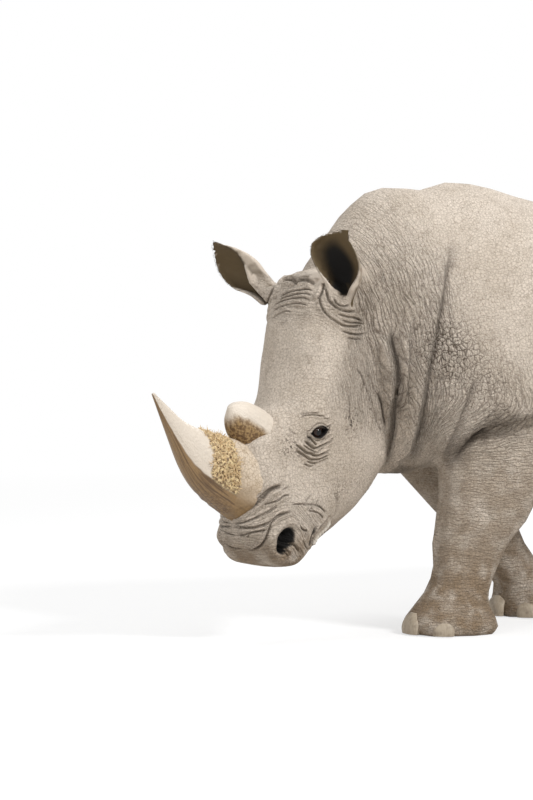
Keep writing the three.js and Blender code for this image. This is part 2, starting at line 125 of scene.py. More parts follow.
# Faces over a grid of points whose rows are closed rings. Each end is closed by triangles
# to a pole or, on a thick C, by a strip from its outer wall to its inner one. The faces are
# turned round if the volume that they enclose comes out negative.
def ringMesh(grid, strip=False):
    rows, around = grid.shape[:2]
    a = np.arange(rows - 1)[:, None] * around
    k = np.arange(around)[None, :]
    n = (k + 1) % around
    quads = np.stack([a + k, a + n, a + n + around, a + k + around], axis=-1).reshape(-1, 4)
    points = grid.reshape(-1, 3)
    last = (rows - 1) * around
    if strip:
        k = np.arange(around // 2 - 1)
        ends = np.stack([k, around - 1 - k, around - 2 - k, k + 1], axis=-1)
        ends = np.concatenate([ends, last + ends[:, ::-1]])
    else:
        pole = rows * around
        points = np.concatenate([points, grid[[0, -1]].mean(axis=1)])
        first = np.stack([n[0], k[0], np.full(around, pole)], axis=-1)
        final = np.stack([last + k[0], last + n[0], np.full(around, pole + 1)], axis=-1)
        ends = np.concatenate([first, final])
    corner = points[quads] - points.mean(axis=0)
    volume = (corner[:, 0] * np.cross(corner[:, 1], corner[:, 2])).sum()
    volume += (corner[:, 0] * np.cross(corner[:, 2], corner[:, 3])).sum()
    turn = -1 if volume < 0 else 1
    return points, quads[:, ::turn].tolist() + ends[:, ::turn].tolist()


# Several meshes as one list of points and faces.
def joined(meshes):
    points, faces, start = [], [], 0
    for p, f in meshes:
        points.append(p)
        faces += [[i + start for i in face] for face in f]
        start += len(p)
    return np.concatenate(points), faces


def makeObject(name, points, faces, material=None):
    mesh = bpy.data.meshes.new(name)
    mesh.from_pydata(toMetres(points).tolist(), [], faces)
    mesh.validate()
    obj = bpy.data.objects.new(name, mesh)
    bpy.context.scene.collection.objects.link(obj)
    mesh.polygons.foreach_set("use_smooth", np.ones(len(mesh.polygons), bool))
    if material:
        mesh.materials.append(material)
    return obj


body = {
    "voxel": 7,  # mm, the grain on which the shells become one skin
    "earWall": (12, 8),  # at the root and at the tip
    "most": 194000,  # triangles in the finished skin
    "sections": [
        section((-1361, 1165), (-1361, 1055), 60),
        section((-1342, 1262), (-1347, 950), 190),
        section((-1285, 1385), (-1290, 845), 300, over=2.1, under=2.3),
        section((-1190, 1500), (-1185, 770), 365, level=0.47, over=2.1, under=2.5),
        section((-1060, 1597), (-1045, 718), 412, level=0.44, over=2.1, under=2.6),
        section((-880, 1648), (-865, 672), 442, level=0.42, under=2.6),
        section((-660, 1618), (-660, 636), 466, level=0.42, under=2.4),
        section((-420, 1582), (-430, 604), 484, level=0.42, under=2.3),
        section((-180, 1573), (-200, 594), 486, level=0.42, under=2.3),
        section((40, 1603), (20, 603), 470, level=0.42, under=2.4),
        section((235, 1646), (215, 625), 444, level=0.41, over=1.9, under=2.6),
        section((400, 1690), (400, 640), 420, level=0.4, over=1.85, under=2.7),
        section((530, 1700), (540, 634), 396, level=0.4, over=1.8, under=2.7),
        section((645, 1672), (650, 615), 366, level=0.42, over=1.85, under=2.5, turn=1),
        section((750, 1678), (740, 592), 334, level=0.44, over=1.9, under=2.3, turn=4),
        section((845, 1667), (800, 588), 302, level=0.47, over=1.9, turn=8),
        section((925, 1605), (842, 600), 268, level=0.5, over=1.9, turn=13),
        section((985, 1525), (862, 640), 234, level=0.55, turn=18),
        section((1045, 1440), (880, 700), 214, level=0.62, over=2.2, turn=22),
        section((1085, 1370), (900, 780), 184, level=0.66, over=2.4, turn=24),
    ],
    "swellings": [  # at, reach, push
        ((400, 330, 1330), 170, (0, 18, 0)),  # shoulder blade
        ((480, 390, 850), 200, (0, 52, 0)),  # upper arm
        ((180, 470, 1080), 150, (0, -16, 0)),  # hollow behind the shoulder
        ((-640, 440, 1300), 190, (0, -26, 0)),  # hollow of the flank
        ((-860, 300, 1500), 130, (0, 22, 16)),  # point of the hip
        ((-990, 410, 920), 250, (0, 52, 0)),  # thigh
    ],
    "nearForeleg": [
        across(1000, (590, 330), (210, 320)),
        across(880, (650, 262), (140, 362)),
        across(780, (676, 232), (96, 388), 2.3),
        across(690, (678, 222), (86, 398), 2.4),
        across(590, (668, 240), (90, 396), 2.4),
        across(500, (672, 282), (100, 382), 2.3),
        across(410, (684, 332), (112, 360)),
        across(330, (692, 396), (120, 338)),
        across(250, (688, 438), (122, 326)),
        across(170, (710, 474), (114, 332)),
        across(105, (764, 478), (94, 350)),
        across(50, (800, 455), (72, 372), 2.4),
        across(14, (802, 450), (70, 374), 2.4),
        across(0, (790, 462), (82, 362), 2.4),
    ],
    "farForeleg": [
        across(1000, (600, 340), (210, 320)),
        across(880, (672, 262), (140, 362)),
        across(780, (694, 222), (96, 388), 2.3),
        across(690, (660, 190), (86, 398), 2.4),
        across(590, (598, 158), (90, 396), 2.4),
        across(500, (516, 135), (98, 376), 2.3),
        across(415, (436, 118), (105, 350)),
        across(335, (362, 95), (112, 325)),
        across(250, (284, 48), (112, 312)),
        across(170, (216, -12), (98, 312)),
        across(105, (182, -85), (76, 328)),
        across(50, (192, -130), (56, 344), 2.4),
        across(14, (194, -132), (54, 346), 2.4),
        across(0, (182, -120), (64, 336), 2.4),
    ],
    "nearHindleg": [
        across(1150, (-880, -1160), (200, 345)),
        across(1030, (-770, -1265), (130, 402)),
        across(900, (-710, -1318), (80, 432), 2.3),
        across(780, (-726, -1326), (68, 432), 2.4),
        across(670, (-812, -1322), (80, 408), 2.4),
        across(570, (-912, -1330), (96, 372)),
        across(480, (-1000, -1352), (110, 342)),
        across(400, (-1050, -1344), (118, 328)),
        across(320, (-1062, -1300), (122, 318)),
        across(240, (-1056, -1272), (122, 316)),
        across(165, (-1036, -1262), (115, 324)),
        across(100, (-1000, -1266), (98, 342)),
        across(48, (-978, -1286), (84, 356), 2.4),
        across(14, (-978, -1288), (84, 356), 2.4),
        across(0, (-990, -1276), (94, 346), 2.4),
    ],
    "farHindleg": [
        across(1150, (-860, -1160), (200, 345)),
        across(1030, (-730, -1260), (130, 402)),
        across(900, (-640, -1300), (80, 432), 2.3),
        across(780, (-596, -1248), (68, 432), 2.4),
        across(670, (-588, -1150), (80, 408), 2.4),
        across(570, (-598, -1052), (96, 372)),
        across(480, (-630, -998), (110, 342)),
        across(400, (-656, -950), (118, 328)),
        across(320, (-655, -892), (122, 318)),
        across(240, (-634, -850), (122, 316)),
        across(165, (-598, -822), (115, 324)),
        across(100, (-548, -806), (98, 342)),
        across(48, (-508, -812), (84, 356), 2.4),
        across(14, (-506, -812), (84, 356), 2.4),
        across(0, (-518, -800), (94, 346), 2.4),
    ],
    "tail": [
        section((-1270, 1370), (-1275, 1270), 50),
        section((-1345, 1330), (-1320, 1250), 44),
        section((-1398, 1240), (-1340, 1205), 34),
        section((-1415, 1100), (-1362, 1095), 28),
        section((-1425, 950), (-1382, 950), 23),
        section((-1432, 800), (-1396, 800), 19),
        section((-1438, 710), (-1398, 710), 22),
        section((-1432, 640), (-1404, 640), 14),
        section((-1424, 612), (-1416, 612), 4),
    ],
}
head = {
    "sections": [
        section((-62, -48), (290, -490), 112, level=0.64, over=2.2, under=2.5),
        section((30, 50), (450, -564), 164, level=0.66, over=2.7, under=3),
        section((165, 48), (555, -588), 172, level=0.66, over=2.9, under=3),
        section((285, 24), (627, -574), 172, level=0.66, over=2.9, under=3),
        section((395, -6), (686, -550), 170, level=0.66, over=2.8, under=2.9),
        section((500, -14), (740, -521), 162, level=0.62, over=2.5, under=2.8),
        section((600, 12), (792, -487), 149, level=0.56, over=2.1, under=2.7),
        section((700, 60), (838, -453), 136, level=0.48, over=1.8, under=2.6),
        section((800, 86), (880, -415), 128, level=0.42, over=1.7, under=2.7),
        section((900, 74), (918, -377), 125, level=0.4, over=1.8, under=3),
        section((980, 30), (962, -342), 127, level=0.42, over=2.1, under=3.4),
        section((1034, -34), (1008, -313), 130, level=0.46, over=2.5, under=3.6),
        section((1066, -106), (1048, -280), 122, level=0.5, over=3, under=3.4),
        section((1078, -158), (1070, -238), 100, level=0.5, over=3, under=3),
    ],
    "swellings": [
        ((545, 128, -52), 62, (0, 14, 12)),  # brow
        ((590, 165, -190), 70, (0, -8, 0)),  # hollow under the eye
        ((360, 190, -180), 110, (0, 12, 0)),  # cheekbone
        ((50, 150, -60), 90, (-10, 24, 10)),  # mound under the ear
        ((520, 120, -500), 90, (0, 14, -6)),  # jaw angle
        ((975, 130, -95), 60, (0, 12, 4)),  # rim of the nostril
        ((760, 135, -120), 90, (0, -10, 0)),  # side of the nose
        ((705, 55, 55), 58, (0, 6, 30)),  # rim between the horns
        ((1074, 108, -150), 46, (10, 16, 0)),  # corner of the lips
    ],
    "ears": {
        "left": {"root": (1062, 176, 1226), "up": (0.16, 0.46, 1), "face": (0.65, 0.8, -0.45),
                 "bend": 1, "hollow": (-0.06, 128, 0.72, 140)},
        "right": {"root": (1229, -66, 1261), "up": (0.61, -0.56, 0.7), "face": (1, 0.32, -0.58),
                  "bend": 0.6, "hollow": (0.35, 90, 0.7, 120)},
    },
    "earRows": [  # height, width, depth, wrap either side in degrees, shift
        (0, 86, 98, 168, 0),
        (60, 96, 102, 162, 0),
        (95, 122, 112, 150, -2),
        (130, 158, 122, 130, -10),
        (165, 180, 116, 114, -22),
        (205, 184, 102, 101, -38),
        (245, 160, 84, 90, -47),
        (280, 108, 58, 80, -40),
        (305, 58, 36, 74, -16),
        (320, 20, 14, 70, 4),
    ],
}


# Each swelling moves the points by push * exp(-(distance / reach)^2), on both sides.
def swell(points, swellings):
    moved = points.copy()
    for at, reach, push in swellings:
        for side in (1, -1):
            mirror = np.array([1, side, 1])
            distance = np.linalg.norm(points - np.array(at) * mirror, axis=-1)
            share = np.exp(-((distance / reach) ** 2))
            moved += share[..., None] * np.array(push) * mirror
    return moved


# An ear's own directions: up its axis, across it, and out of its opening.
def earAxes(ear):
    up = np.array(ear["up"]) / np.linalg.norm(ear["up"])
    wide = np.cross(up, ear["face"])
    wide /= np.linalg.norm(wide)
    return up, wide, np.cross(wide, up)


# An ear is a thick C across its axis: sideways = half width * sin and out = -half depth * cos,
# there along the outer wall and back along the inner one.
def earGrid(ear, along=70, around=44):
    r = spline(head["earRows"], np.array(head["earRows"])[:, 0], along)
    share = r[:, 0:1] / head["earRows"][-1][0]
    thick = body["earWall"][0] * (1 - share) + body["earWall"][1] * share
    angle = np.radians(r[:, 3:4]) * np.linspace(-1, 1, around)[None, :]
    walls = []
    for less, turned in ((0, angle), (thick, angle[:, ::-1])):
        wide = np.maximum(r[:, 1:2] / 2 - less, 1) * np.sin(turned)
        out = -np.maximum(r[:, 2:3] / 2 - less, 1) * np.cos(turned)
        walls.append(np.stack([wide + ear["bend"] * r[:, 4:5], out], axis=-1))
    flat = np.concatenate(walls, axis=1)
    up, wide, out = earAxes(ear)
    return (np.array(ear["root"]) + r[:, None, 0:1] * up + flat[..., 0:1] * wide
            + flat[..., 1:2] * out)


def legGrid(name, side):
    rows = [(*row[:5], row[5] * side, *row[6:]) for row in body[name]]
    return loft(rows, 110, 72)


legSides = {"nearForeleg": 1, "farForeleg": -1, "nearHindleg": 1, "farHindleg": -1}
skull = fromHead(swell(loft(head["sections"], 160, 112), head["swellings"]))
shells = [ringMesh(swell(loft(body["sections"], 220, 144), body["swellings"])), ringMesh(skull),
          ringMesh(loft(body["tail"], 120, 32))]
shells += [ringMesh(legGrid(name, side)) for name, side in legSides.items()]
shells += [ringMesh(earGrid(ear), strip=True) for ear in head["ears"].values()]
skin = makeObject("skin", *joined(shells))
print("shells made")


# Leaves the object with the mesh that its modifiers make.
def settle(obj):
    graph = bpy.context.evaluated_depsgraph_get()
    mesh = bpy.data.meshes.new_from_object(obj.evaluated_get(graph))
    obj.modifiers.clear()
    old = obj.data
    obj.data = mesh
    bpy.data.meshes.remove(old)


def readPoints(mesh):
    flat = np.empty(len(mesh.vertices) * 3, np.float32)
    mesh.vertices.foreach_get("co", flat)
    return (flat.reshape(-1, 3).astype(float) / mm - (middleForward, 0, 0)) * (-1, -1, 1)


def writePoints(mesh, points):
    mesh.vertices.foreach_set("co", toMetres(points).astype(np.float32).ravel())
    mesh.update()


def readNormals(mesh):
    flat = np.empty(len(mesh.vertices) * 3, np.float32)
    mesh.vertex_normals.foreach_get("vector", flat)
    return flat.reshape(-1, 3).astype(float) * (-1, -1, 1)


# Each round moves a point by its weight towards the mean of its neighbours.
def smoothed(mesh, points, weight, rounds):
    pairs = np.empty(len(mesh.edges) * 2, np.int32)
    mesh.edges.foreach_get("vertices", pairs)
    pairs = pairs.reshape(-1, 2)
    pairs = pairs[(weight[pairs] > 0.01).any(axis=1)]
    count = len(points)
    near = np.maximum(np.bincount(pairs.ravel(), minlength=count), 1)
    points = points.copy()
    for _ in range(rounds):
        for axis in range(3):
            line = points[:, axis]
            total = (np.bincount(pairs[:, 0], line[pairs[:, 1]], count)
                     + np.bincount(pairs[:, 1], line[pairs[:, 0]], count))
            line += np.where(weight > 0.01, weight * (total / near - line), 0)
    return points


def bell(points, at, reach):
    return np.exp(-(np.linalg.norm(points - np.array(at), axis=1) / reach) ** 2)


def rise(value, low, high):
    t = np.clip((value - low) / (high - low), 0, 1)
    return t * t * (3 - 2 * t)


# The share of each point that lies in an ear above its root.
def inEar(points):
    share = np.zeros(len(points))
    for ear in head["ears"].values():
        up, wide, out = earAxes(ear)
        off = points - ear["root"]
        level = off @ up
        near = np.hypot(off @ wide, off @ out)
        share = np.maximum(share, rise(level, 60, 110) * (near < 130) * (level < 360))
    return share


# Places where one shape runs into the next, with the reach of the softening.
softSpots = [
    ((860, -60, 800), 190), ((980, 60, 1080), 170), ((940, 190, 1150), 150),
    ((1010, -90, 1230), 150), ((1000, -160, 1000), 170),  # throat and nape
    ((420, 230, 700), 230), ((420, -230, 700), 230),  # tops of the forelegs
    ((-930, 240, 800), 260), ((-760, -240, 780), 260),  # tops of the hindlegs
    ((-1330, 0, 1260), 110),  # root of the tail
]
remesh = skin.modifiers.new("one skin", "REMESH")
remesh.mode = "VOXEL"
remesh.voxel_size = body["voxel"] * mm
remesh.use_smooth_shade = True
settle(skin)
points = readPoints(skin.data)
firm = 1 - inEar(points)
points = smoothed(skin.data, points, 0.5 * firm + 0.1, 6)
soft = np.clip(sum(bell(points, at, reach) for at, reach in softSpots), 0, 1)
points = smoothed(skin.data, points, 0.9 * soft * firm, 60)
writePoints(skin.data, points)
print("skin joined:", len(points), "points")


# Splits the faces whose points are chosen, once.
def refine(obj, chosen):
    mesh = obj.data
    mesh.vertices.foreach_set("select", chosen)
    pairs = np.empty(len(mesh.edges) * 2, np.int32)
    mesh.edges.foreach_get("vertices", pairs)
    mesh.edges.foreach_set("select", chosen[pairs.reshape(-1, 2)].all(axis=1))
    corners = np.empty(len(mesh.loops), np.int32)
    mesh.loops.foreach_get("vertex_index", corners)
    starts = np.empty(len(mesh.polygons), np.int32)
    mesh.polygons.foreach_get("loop_start", starts)
    mesh.polygons.foreach_set("select", np.logical_and.reduceat(chosen[corners], starts))
    bpy.ops.object.select_all(action="DESELECT")
    obj.select_set(True)
    bpy.context.view_layer.objects.active = obj
    bpy.ops.object.mode_set(mode="EDIT")
    bpy.context.tool_settings.mesh_select_mode = (False, True, False)
    bpy.ops.mesh.subdivide(number_cuts=1, smoothness=0)
    bpy.ops.object.mode_set(mode="OBJECT")


fine = {  # centre in the head's frame, and half sizes of the ellipsoid
    "head": ((520, 0, -220), (640, 260, 420)),
    "eyes": ((600, 142, -132), (118, 62, 100)),
    "muzzle": ((950, 80, -110), (150, 100, 150)),
    "mouth": ((905, 110, -300), (115, 50, 95)),
    "crown": ((100, 60, 20), (90, 110, 80)),
    "earRoots": ((130, 150, -90), (80, 60, 120)),
}


def chosenBy(points, name):
    centre, half = fine[name]
    place = toHead(points)
    place[:, 1] = np.abs(place[:, 1]) if centre[1] else place[:, 1]
    return (((place - centre) / half) ** 2).sum(axis=1) < 1


finest = ["eyes", "muzzle", "mouth", "crown", "earRoots"]
for group in (["head"], finest):
    points = readPoints(skin.data)
    refine(skin, np.logical_or.reduce([chosenBy(points, name) for name in group]))
    points = readPoints(skin.data)
    chosen = np.logical_or.reduce([chosenBy(points, name) for name in group])
    points = smoothed(skin.data, points, 0.5 * chosen * (1 - inEar(points)), 3)
    writePoints(skin.data, points)
print("head refined:", len(skin.data.vertices), "points")

# A fold's line is a cubic through a few places, laid onto the skin. Beside it the skin's height
# is -depth * exp(-(d / width)^2), with a rounded rim on each side. On the body the skin of one
# side hangs over the other: it rises by rim * exp(-d / rimWidth) up to the line, and drops to
# -depth * exp(-d / (2 width)) beyond it.
# Most of the head's places were printed by a tracing script, rounded to 2 mm, and weren't
# chosen by hand.
folds = {
    "head": [  # path in the head's frame, width, depth, rims, rim width
        ([(806, 106, -76), (848, 90, -24), (880, 82, -8), (914, 72, 8), (938, 46, 10),
          (956, 16, 10), (962, 0, 10)], 8, 20, (5, 13), 15),  # under the horn
        ([(796, 112, -104), (824, 106, -76), (848, 100, -52)], 3, 4, (3, 3), 7),
        ([(826, 114, -122), (842, 108, -90), (870, 104, -68), (890, 96, -42), (914, 84, -10)],
         3.5, 6, (4, 5), 8),
        ([(878, 108, -78), (906, 104, -58), (932, 96, -38), (954, 86, -16), (976, 68, 2),
          (990, 42, 10), (996, 0, 14)], 4, 9, (5, 7), 10),
        ([(894, 116, -110), (916, 114, -88), (938, 114, -70), (962, 108, -54), (980, 98, -36),
          (996, 76, -20), (1004, 40, 0), (1008, 0, 4)], 5, 12, (7, 9), 12),  # over the lip
        ([(886, 120, -146), (902, 116, -112), (920, 114, -88), (942, 114, -66),
          (964, 112, -58), (984, 112, -58), (1006, 108, -60), (1024, 102, -64),
          (1040, 88, -70), (1052, 58, -78), (1058, 0, -88)], 4.5, 11, (11, 5), 12),
        ([(984, 114, -64), (1002, 90, -36), (1012, 64, -24), (1020, 40, -24), (1026, 0, -24)],
         4, 6, (5, 4), 9),
        ([(1012, 64, -24), (1022, 52, -30), (1034, 48, -40)], 3, 4, (3, 3), 7),
        ([(862, 116, -124), (844, 122, -166), (826, 128, -208), (814, 128, -248),
          (814, 130, -288), (822, 124, -324)], 4, 5, (4, 5), 10),  # round the mouth's corner
        ([(850, 126, -216), (838, 128, -256), (836, 126, -288), (844, 122, -316)],
         3.5, 5, (4, 4), 8),
        ([(738, 142, -308), (754, 136, -342), (778, 128, -360), (804, 118, -370),
          (824, 112, -368)], 8, 7, (8, 3), 18),  # end of the cheek
        ([(780, 132, -206), (812, 128, -196), (846, 124, -184)], 3.5, 3, (3, 3), 8),
        ([(778, 134, -248), (816, 128, -238), (850, 126, -216)], 3.5, 3, (3, 3), 8),
        ([(816, 112, -345), (830, 114, -341), (858, 115, -327), (888, 116, -313),
          (917, 116, -304), (945, 113, -308), (960, 106, -330)], 6, 9, (5, 3), 12),  # mouth
        ([(904, 124, -180), (918, 126, -194), (922, 124, -220), (918, 122, -252)],
         4, 8, (5, 5), 9),  # flaps behind the nostril
        ([(982, 126, -150), (990, 128, -166), (996, 128, -190), (1000, 128, -218),
          (1003, 126, -244)], 6, 14, (7, 6), 10),
        ([(1010, 126, -126), (1022, 128, -146), (1032, 128, -168), (1040, 126, -192)],
         4.5, 10, (6, 5), 9),
        ([(986, 126, -222), (998, 126, -240), (1006, 122, -268)], 3.5, 5, (4, 3), 7),
        ([(1036, 128, -138), (1040, 128, -156), (1046, 124, -178)], 4, 6, (4, 4), 8),
        ([(954, 126, -234), (968, 124, -254), (978, 112, -294)], 4, 6, (4, 4), 9),
        ([(66, -4, 54), (54, 4, 52), (46, 20, 50), (44, 42, 48), (48, 62, 48), (56, 80, 42)],
         7.5, 17, (10, 11), 13),  # crown
        ([(112, -68, 50), (94, -24, 54), (86, 20, 54), (80, 68, 50), (86, 88, 44)],
         4, 6, (5, 5), 9),
        ([(126, -76, 46), (110, -28, 52), (100, 24, 54), (98, 70, 50), (106, 88, 44)],
         4, 5, (4, 5), 8),
        ([(142, -98, 36), (126, -44, 50), (116, 10, 54), (114, 60, 50), (122, 86, 42)],
         4, 5, (4, 5), 8),
        ([(166, -98, 32), (148, -46, 46), (138, 2, 52), (136, 46, 48), (142, 84, 42)],
         4, 4.5, (4, 4), 8),
        ([(190, -90, 32), (176, -52, 42), (166, -12, 48), (170, 10, 46)], 3.5, 4, (3, 3), 7),
        ([(198, -44, 40), (186, -14, 44), (182, 2, 46)], 3, 3, (3, 3), 6),
        ([(214, -32, 38), (204, -12, 40), (198, -2, 42)], 3, 3, (3, 3), 6),
        ([(6, 84, 6), (30, 106, 16), (66, 112, 30), (100, 110, 36), (122, 100, 38)],
         5, 7, (9, 2), 12),
        ([(88, 144, 4), (106, 156, -14), (106, 166, -34), (82, 164, -58)],
         4.5, 7, (5, 5), 9),  # round the root of the ear
        ([(44, 112, 12), (78, 126, 20), (104, 138, 14), (118, 152, -8), (120, 164, -38),
          (112, 172, -70), (76, 144, -138)], 5, 10, (6, 7), 11),
        ([(72, 110, 32), (108, 112, 34), (138, 124, 22), (160, 144, 0), (168, 160, -30),
          (170, 168, -66), (154, 168, -112), (114, 138, -194)], 4.5, 8, (6, 6), 10),
        ([(142, 160, -22), (134, 170, -66), (114, 158, -124), (98, 142, -192)],
         4, 6, (5, 5), 9),
        ([(156, 164, -46), (148, 170, -88), (122, 152, -154), (106, 152, -200)],
         4, 5, (5, 4), 8),
        ([(192, 166, -62), (184, 170, -106), (160, 158, -174), (132, 146, -224)],
         4, 6, (5, 5), 9),
        ([(204, 172, -102), (190, 168, -146), (164, 148, -208)], 4, 4, (4, 4), 9),
        ([(284, 178, -176), (298, 174, -224), (318, 174, -254), (340, 172, -294),
          (364, 168, -336), (388, 164, -372), (418, 158, -422), (440, 150, -466)],
         6, 7, (6, 5), 14),  # behind the cheek
        ([(268, 170, -236), (284, 164, -296), (306, 162, -338), (330, 148, -404),
          (376, 156, -442), (422, 168, -480)], 6, 6, (5, 4), 13),
        ([(384, 182, -182), (426, 178, -212), (466, 174, -242), (510, 170, -272)],
         4, 2.5, (2, 2), 10),
        ([(604, 138, -92), (608, 140, -106), (614, 142, -124), (620, 146, -144)],
         3.5, 8, (3, 4), 6),  # under the eye
        ([(624, 128, -84), (628, 134, -102), (632, 138, -122), (632, 142, -140),
          (620, 146, -154), (604, 150, -172), (584, 154, -192), (560, 160, -204)],
         4.5, 12, (4, 6), 8),
        ([(604, 148, -148), (592, 152, -158), (580, 154, -170), (566, 156, -178),
          (558, 160, -190)], 3.5, 7, (3, 3), 6),
        ([(640, 124, -84), (642, 130, -100), (644, 134, -118), (644, 140, -136),
          (644, 142, -152), (622, 148, -168), (612, 150, -180)], 3, 6, (3, 3), 6),
        ([(646, 112, -60), (652, 120, -78), (656, 126, -96), (660, 132, -118),
          (656, 136, -132), (656, 142, -152), (644, 146, -174), (630, 150, -190),
          (618, 152, -204), (602, 154, -214)], 4.5, 12, (5, 6), 8),
        ([(668, 112, -68), (670, 120, -84), (672, 124, -102), (674, 130, -122),
          (676, 136, -142), (668, 140, -162), (658, 144, -182), (644, 148, -198),
          (626, 152, -214)], 4.5, 11, (4, 5), 8),
        ([(686, 130, -126), (686, 132, -140), (684, 138, -156), (678, 140, -172),
          (664, 146, -190), (650, 150, -206), (636, 152, -220)], 4, 10, (3, 4), 7),
        ([(700, 126, -122), (700, 130, -140), (698, 134, -156), (688, 138, -168),
          (678, 142, -180)], 3.5, 7, (3, 3), 7),
        ([(544, 114, -38), (536, 124, -44), (530, 134, -52), (524, 142, -64),
          (516, 150, -80), (510, 156, -96)], 3, 4, (3, 4), 7),  # over the eye
        ([(556, 120, -42), (544, 126, -46), (538, 134, -54), (528, 144, -70),
          (522, 152, -86), (516, 158, -108), (510, 162, -126)], 3, 5, (3, 4), 7),
        ([(520, 160, -122), (516, 164, -134), (508, 166, -148)], 3, 3.5, (2, 3), 6),
        ([(546, 158, -148), (536, 160, -156), (526, 164, -166)], 3, 6, (3, 3), 6),
        ([(604, 92, -26), (610, 102, -38), (614, 114, -54)], 3, 3, (2, 2), 6),
    ],
    "body": [  # path in the animal's frame
        ([(868, 205, 1180), (880, 210, 1110), (852, 205, 980), (840, 155, 835),
          (830, 100, 690), (826, 40, 612)], 13, 24, (18, 0), 60),  # behind the head
        ([(640, 240, 1520), (700, 300, 1310), (742, 320, 1150), (765, 302, 985),
          (772, 265, 840), (775, 215, 730), (764, 130, 636)], 12, 20, (17, 0), 54),
        ([(805, 250, 1200), (820, 262, 1080), (815, 245, 960), (806, 210, 830)],
         7, 9, (8, 0), 30),
        ([(600, 400, 1000), (632, 385, 930), (652, 355, 840), (668, 300, 740),
          (668, 240, 650)], 12, 16, (12, 0), 50),  # in front of the shoulder
        ([(230, 440, 846), (300, 436, 838), (400, 425, 822), (505, 402, 805), (572, 370, 780),
          (636, 335, 725), (664, 290, 665), (664, 250, 600)], 30, 42, (26, 0), 70),  # over the leg
        ([(330, 440, 890), (430, 430, 878), (530, 408, 862), (610, 376, 810)],
         7, 6, (6, 0), 24),
        ([(-560, 400, 1000), (-610, 430, 900), (-640, 430, 800), (-620, 400, 700),
          (-560, 340, 650)], 14, 14, (14, 0), 60),  # flank
        ([(-1290, 250, 1250), (-1310, 190, 1130), (-1325, 140, 1000), (-1320, 110, 880)],
         12, 12, (10, 0), 40),  # beside the tail
        ([(150, 330, 640), (60, 360, 690), (0, 400, 760)], 12, 10, (10, 0), 40),  # armpit
    ],
}
# Callused lumps along the lower lip: height * exp(-(d / reach)^2).
lumps = {"height": 8, "reach": 8, "places": [
    (841, 110, -368), (855, 108, -366), (869, 106, -358), (883, 106, -349), (897, 108, -338),
    (911, 110, -328), (925, 110, -320), (939, 108, -314)]}
eye = {"at": (571, 135, -127), "lidRadius": 30, "length": 36, "above": 19, "below": 20,
       "recess": 12, "reach": 60,
       "edge": (4.5, 4, 3.5), "groove": (-3.5, 12, 3)}  # height, distance from the lids, width
cornerWay = np.array([-0.56, 0, -0.83])  # from the front corner of the eye to the rear one
lidWay = np.array([0.83, 0, -0.56])  # from the upper lid to the lower one
nostril = {"at": (983, 120, -142), "long": (0.68, 0.73), "half": (52, 35), "tail": (40, -28, 20),
           "depth": 44, "rim": 17}
mouthGap = {"at": (922, -291), "half": (44, 12), "depth": 12}
# The foot of each horn: the middle and half sizes of its ellipse, and how far the skin climbs.
hornFeet = {"front": (847, 142, 86, 15), "rear": (648, 86, 64, 16)}


def laidLine(path, tree, count=48):
    path = np.array(path, float)
    place = np.concatenate([[0], np.cumsum(np.linalg.norm(np.diff(path, axis=0), axis=1))])
    line = toMetres(spline(path, place, count))
    found = [tree.find_nearest(Vector(place)) for place in line]
    on = (np.array([f[0] for f in found]) / mm - (middleForward, 0, 0)) * (-1, -1, 1)
    out = np.array([f[1] for f in found]) * (-1, -1, 1)
    return on, out


# Every fold as its line on the skin. One that keeps to the left is laid on both sides.
def layFolds(tree):
    listed = [(fromHead(np.array(path) * (1, side, 1)), width, 1.4 * depth,
               (1.25 * rims[0], 1.25 * rims[1]), rimWidth)
              for path, width, depth, rims, rimWidth in folds["head"]
              for side in ((1, -1) if np.array(path)[:, 1].min() > -10 else (1,))]
    listed += [(np.array(path) * (1, side, 1), *rest)
               for path, *rest in folds["body"] for side in (1, -1)]
    return [(laidLine(path, tree), width, depth, rims, rimWidth, path[:, 1].mean() > 0)
            for path, width, depth, rims, rimWidth in listed]


# The skin's height from all folds, and the painted shade in them, 0 to 1.
def foldHeights(points, laid):
    groove, swelling, shade = (np.zeros(len(points)) for _ in range(3))
    for (line, out), width, depth, rims, rimWidth, isLeft in laid:
        reach = 3 * rimWidth + 2 * width
        box = ((points > line.min(axis=0) - reach) & (points < line.max(axis=0) + reach))
        near = np.flatnonzero(box.all(axis=1))
        if not len(near):
            continue
        off = points[near][:, None, :] - line[None, :, :]
        distance = np.linalg.norm(off, axis=2)
        k = distance.argmin(axis=1)
        way = np.gradient(line, axis=0)
        way /= np.maximum(np.linalg.norm(way, axis=1)[:, None], 1e-6)
        chosen = off[np.arange(len(near)), k]
        along = (chosen * way[k]).sum(axis=1)
        aside = (chosen * np.cross(out, way)[k]).sum(axis=1)
        if isLeft:
            aside = -aside
        apart = np.sqrt(np.maximum(distance.min(axis=1) ** 2 - along**2, 0))
        beyond = np.where((k == 0) | (k == len(line) - 1), np.abs(along), 0)
        apart = np.hypot(apart, beyond)
        share = k / (len(line) - 1)
        taper = rise(share, 0, 0.16) * rise(1 - share, 0, 0.16)
        taper = np.where(apart < reach, taper, 0)
        if rims[1]:
            low = depth * np.exp(-((apart / width) ** 2))
            high = np.where(aside > 0, rims[0], rims[1])
            high = high * np.exp(-(((apart - 1.5 * width) / rimWidth) ** 2))
            dark = np.exp(-((apart / (0.85 * width)) ** 2)) * min(1, depth / 8)
        else:
            over = rise(aside, -5, 5)
            low = depth * np.exp(-apart / (2 * width)) * (1 - over)
            high = rims[0] * np.exp(-apart / rimWidth) * over
            dark = np.exp(-(((aside + 0.35 * width) / (0.55 * width)) ** 2)) * min(1, depth / 30)
        groove[near] = np.maximum(groove[near], taper * low)
        swelling[near] = np.maximum(swelling[near], taper * high)
        shade[near] = np.maximum(shade[near], taper * dark)
    return swelling - groove, shade


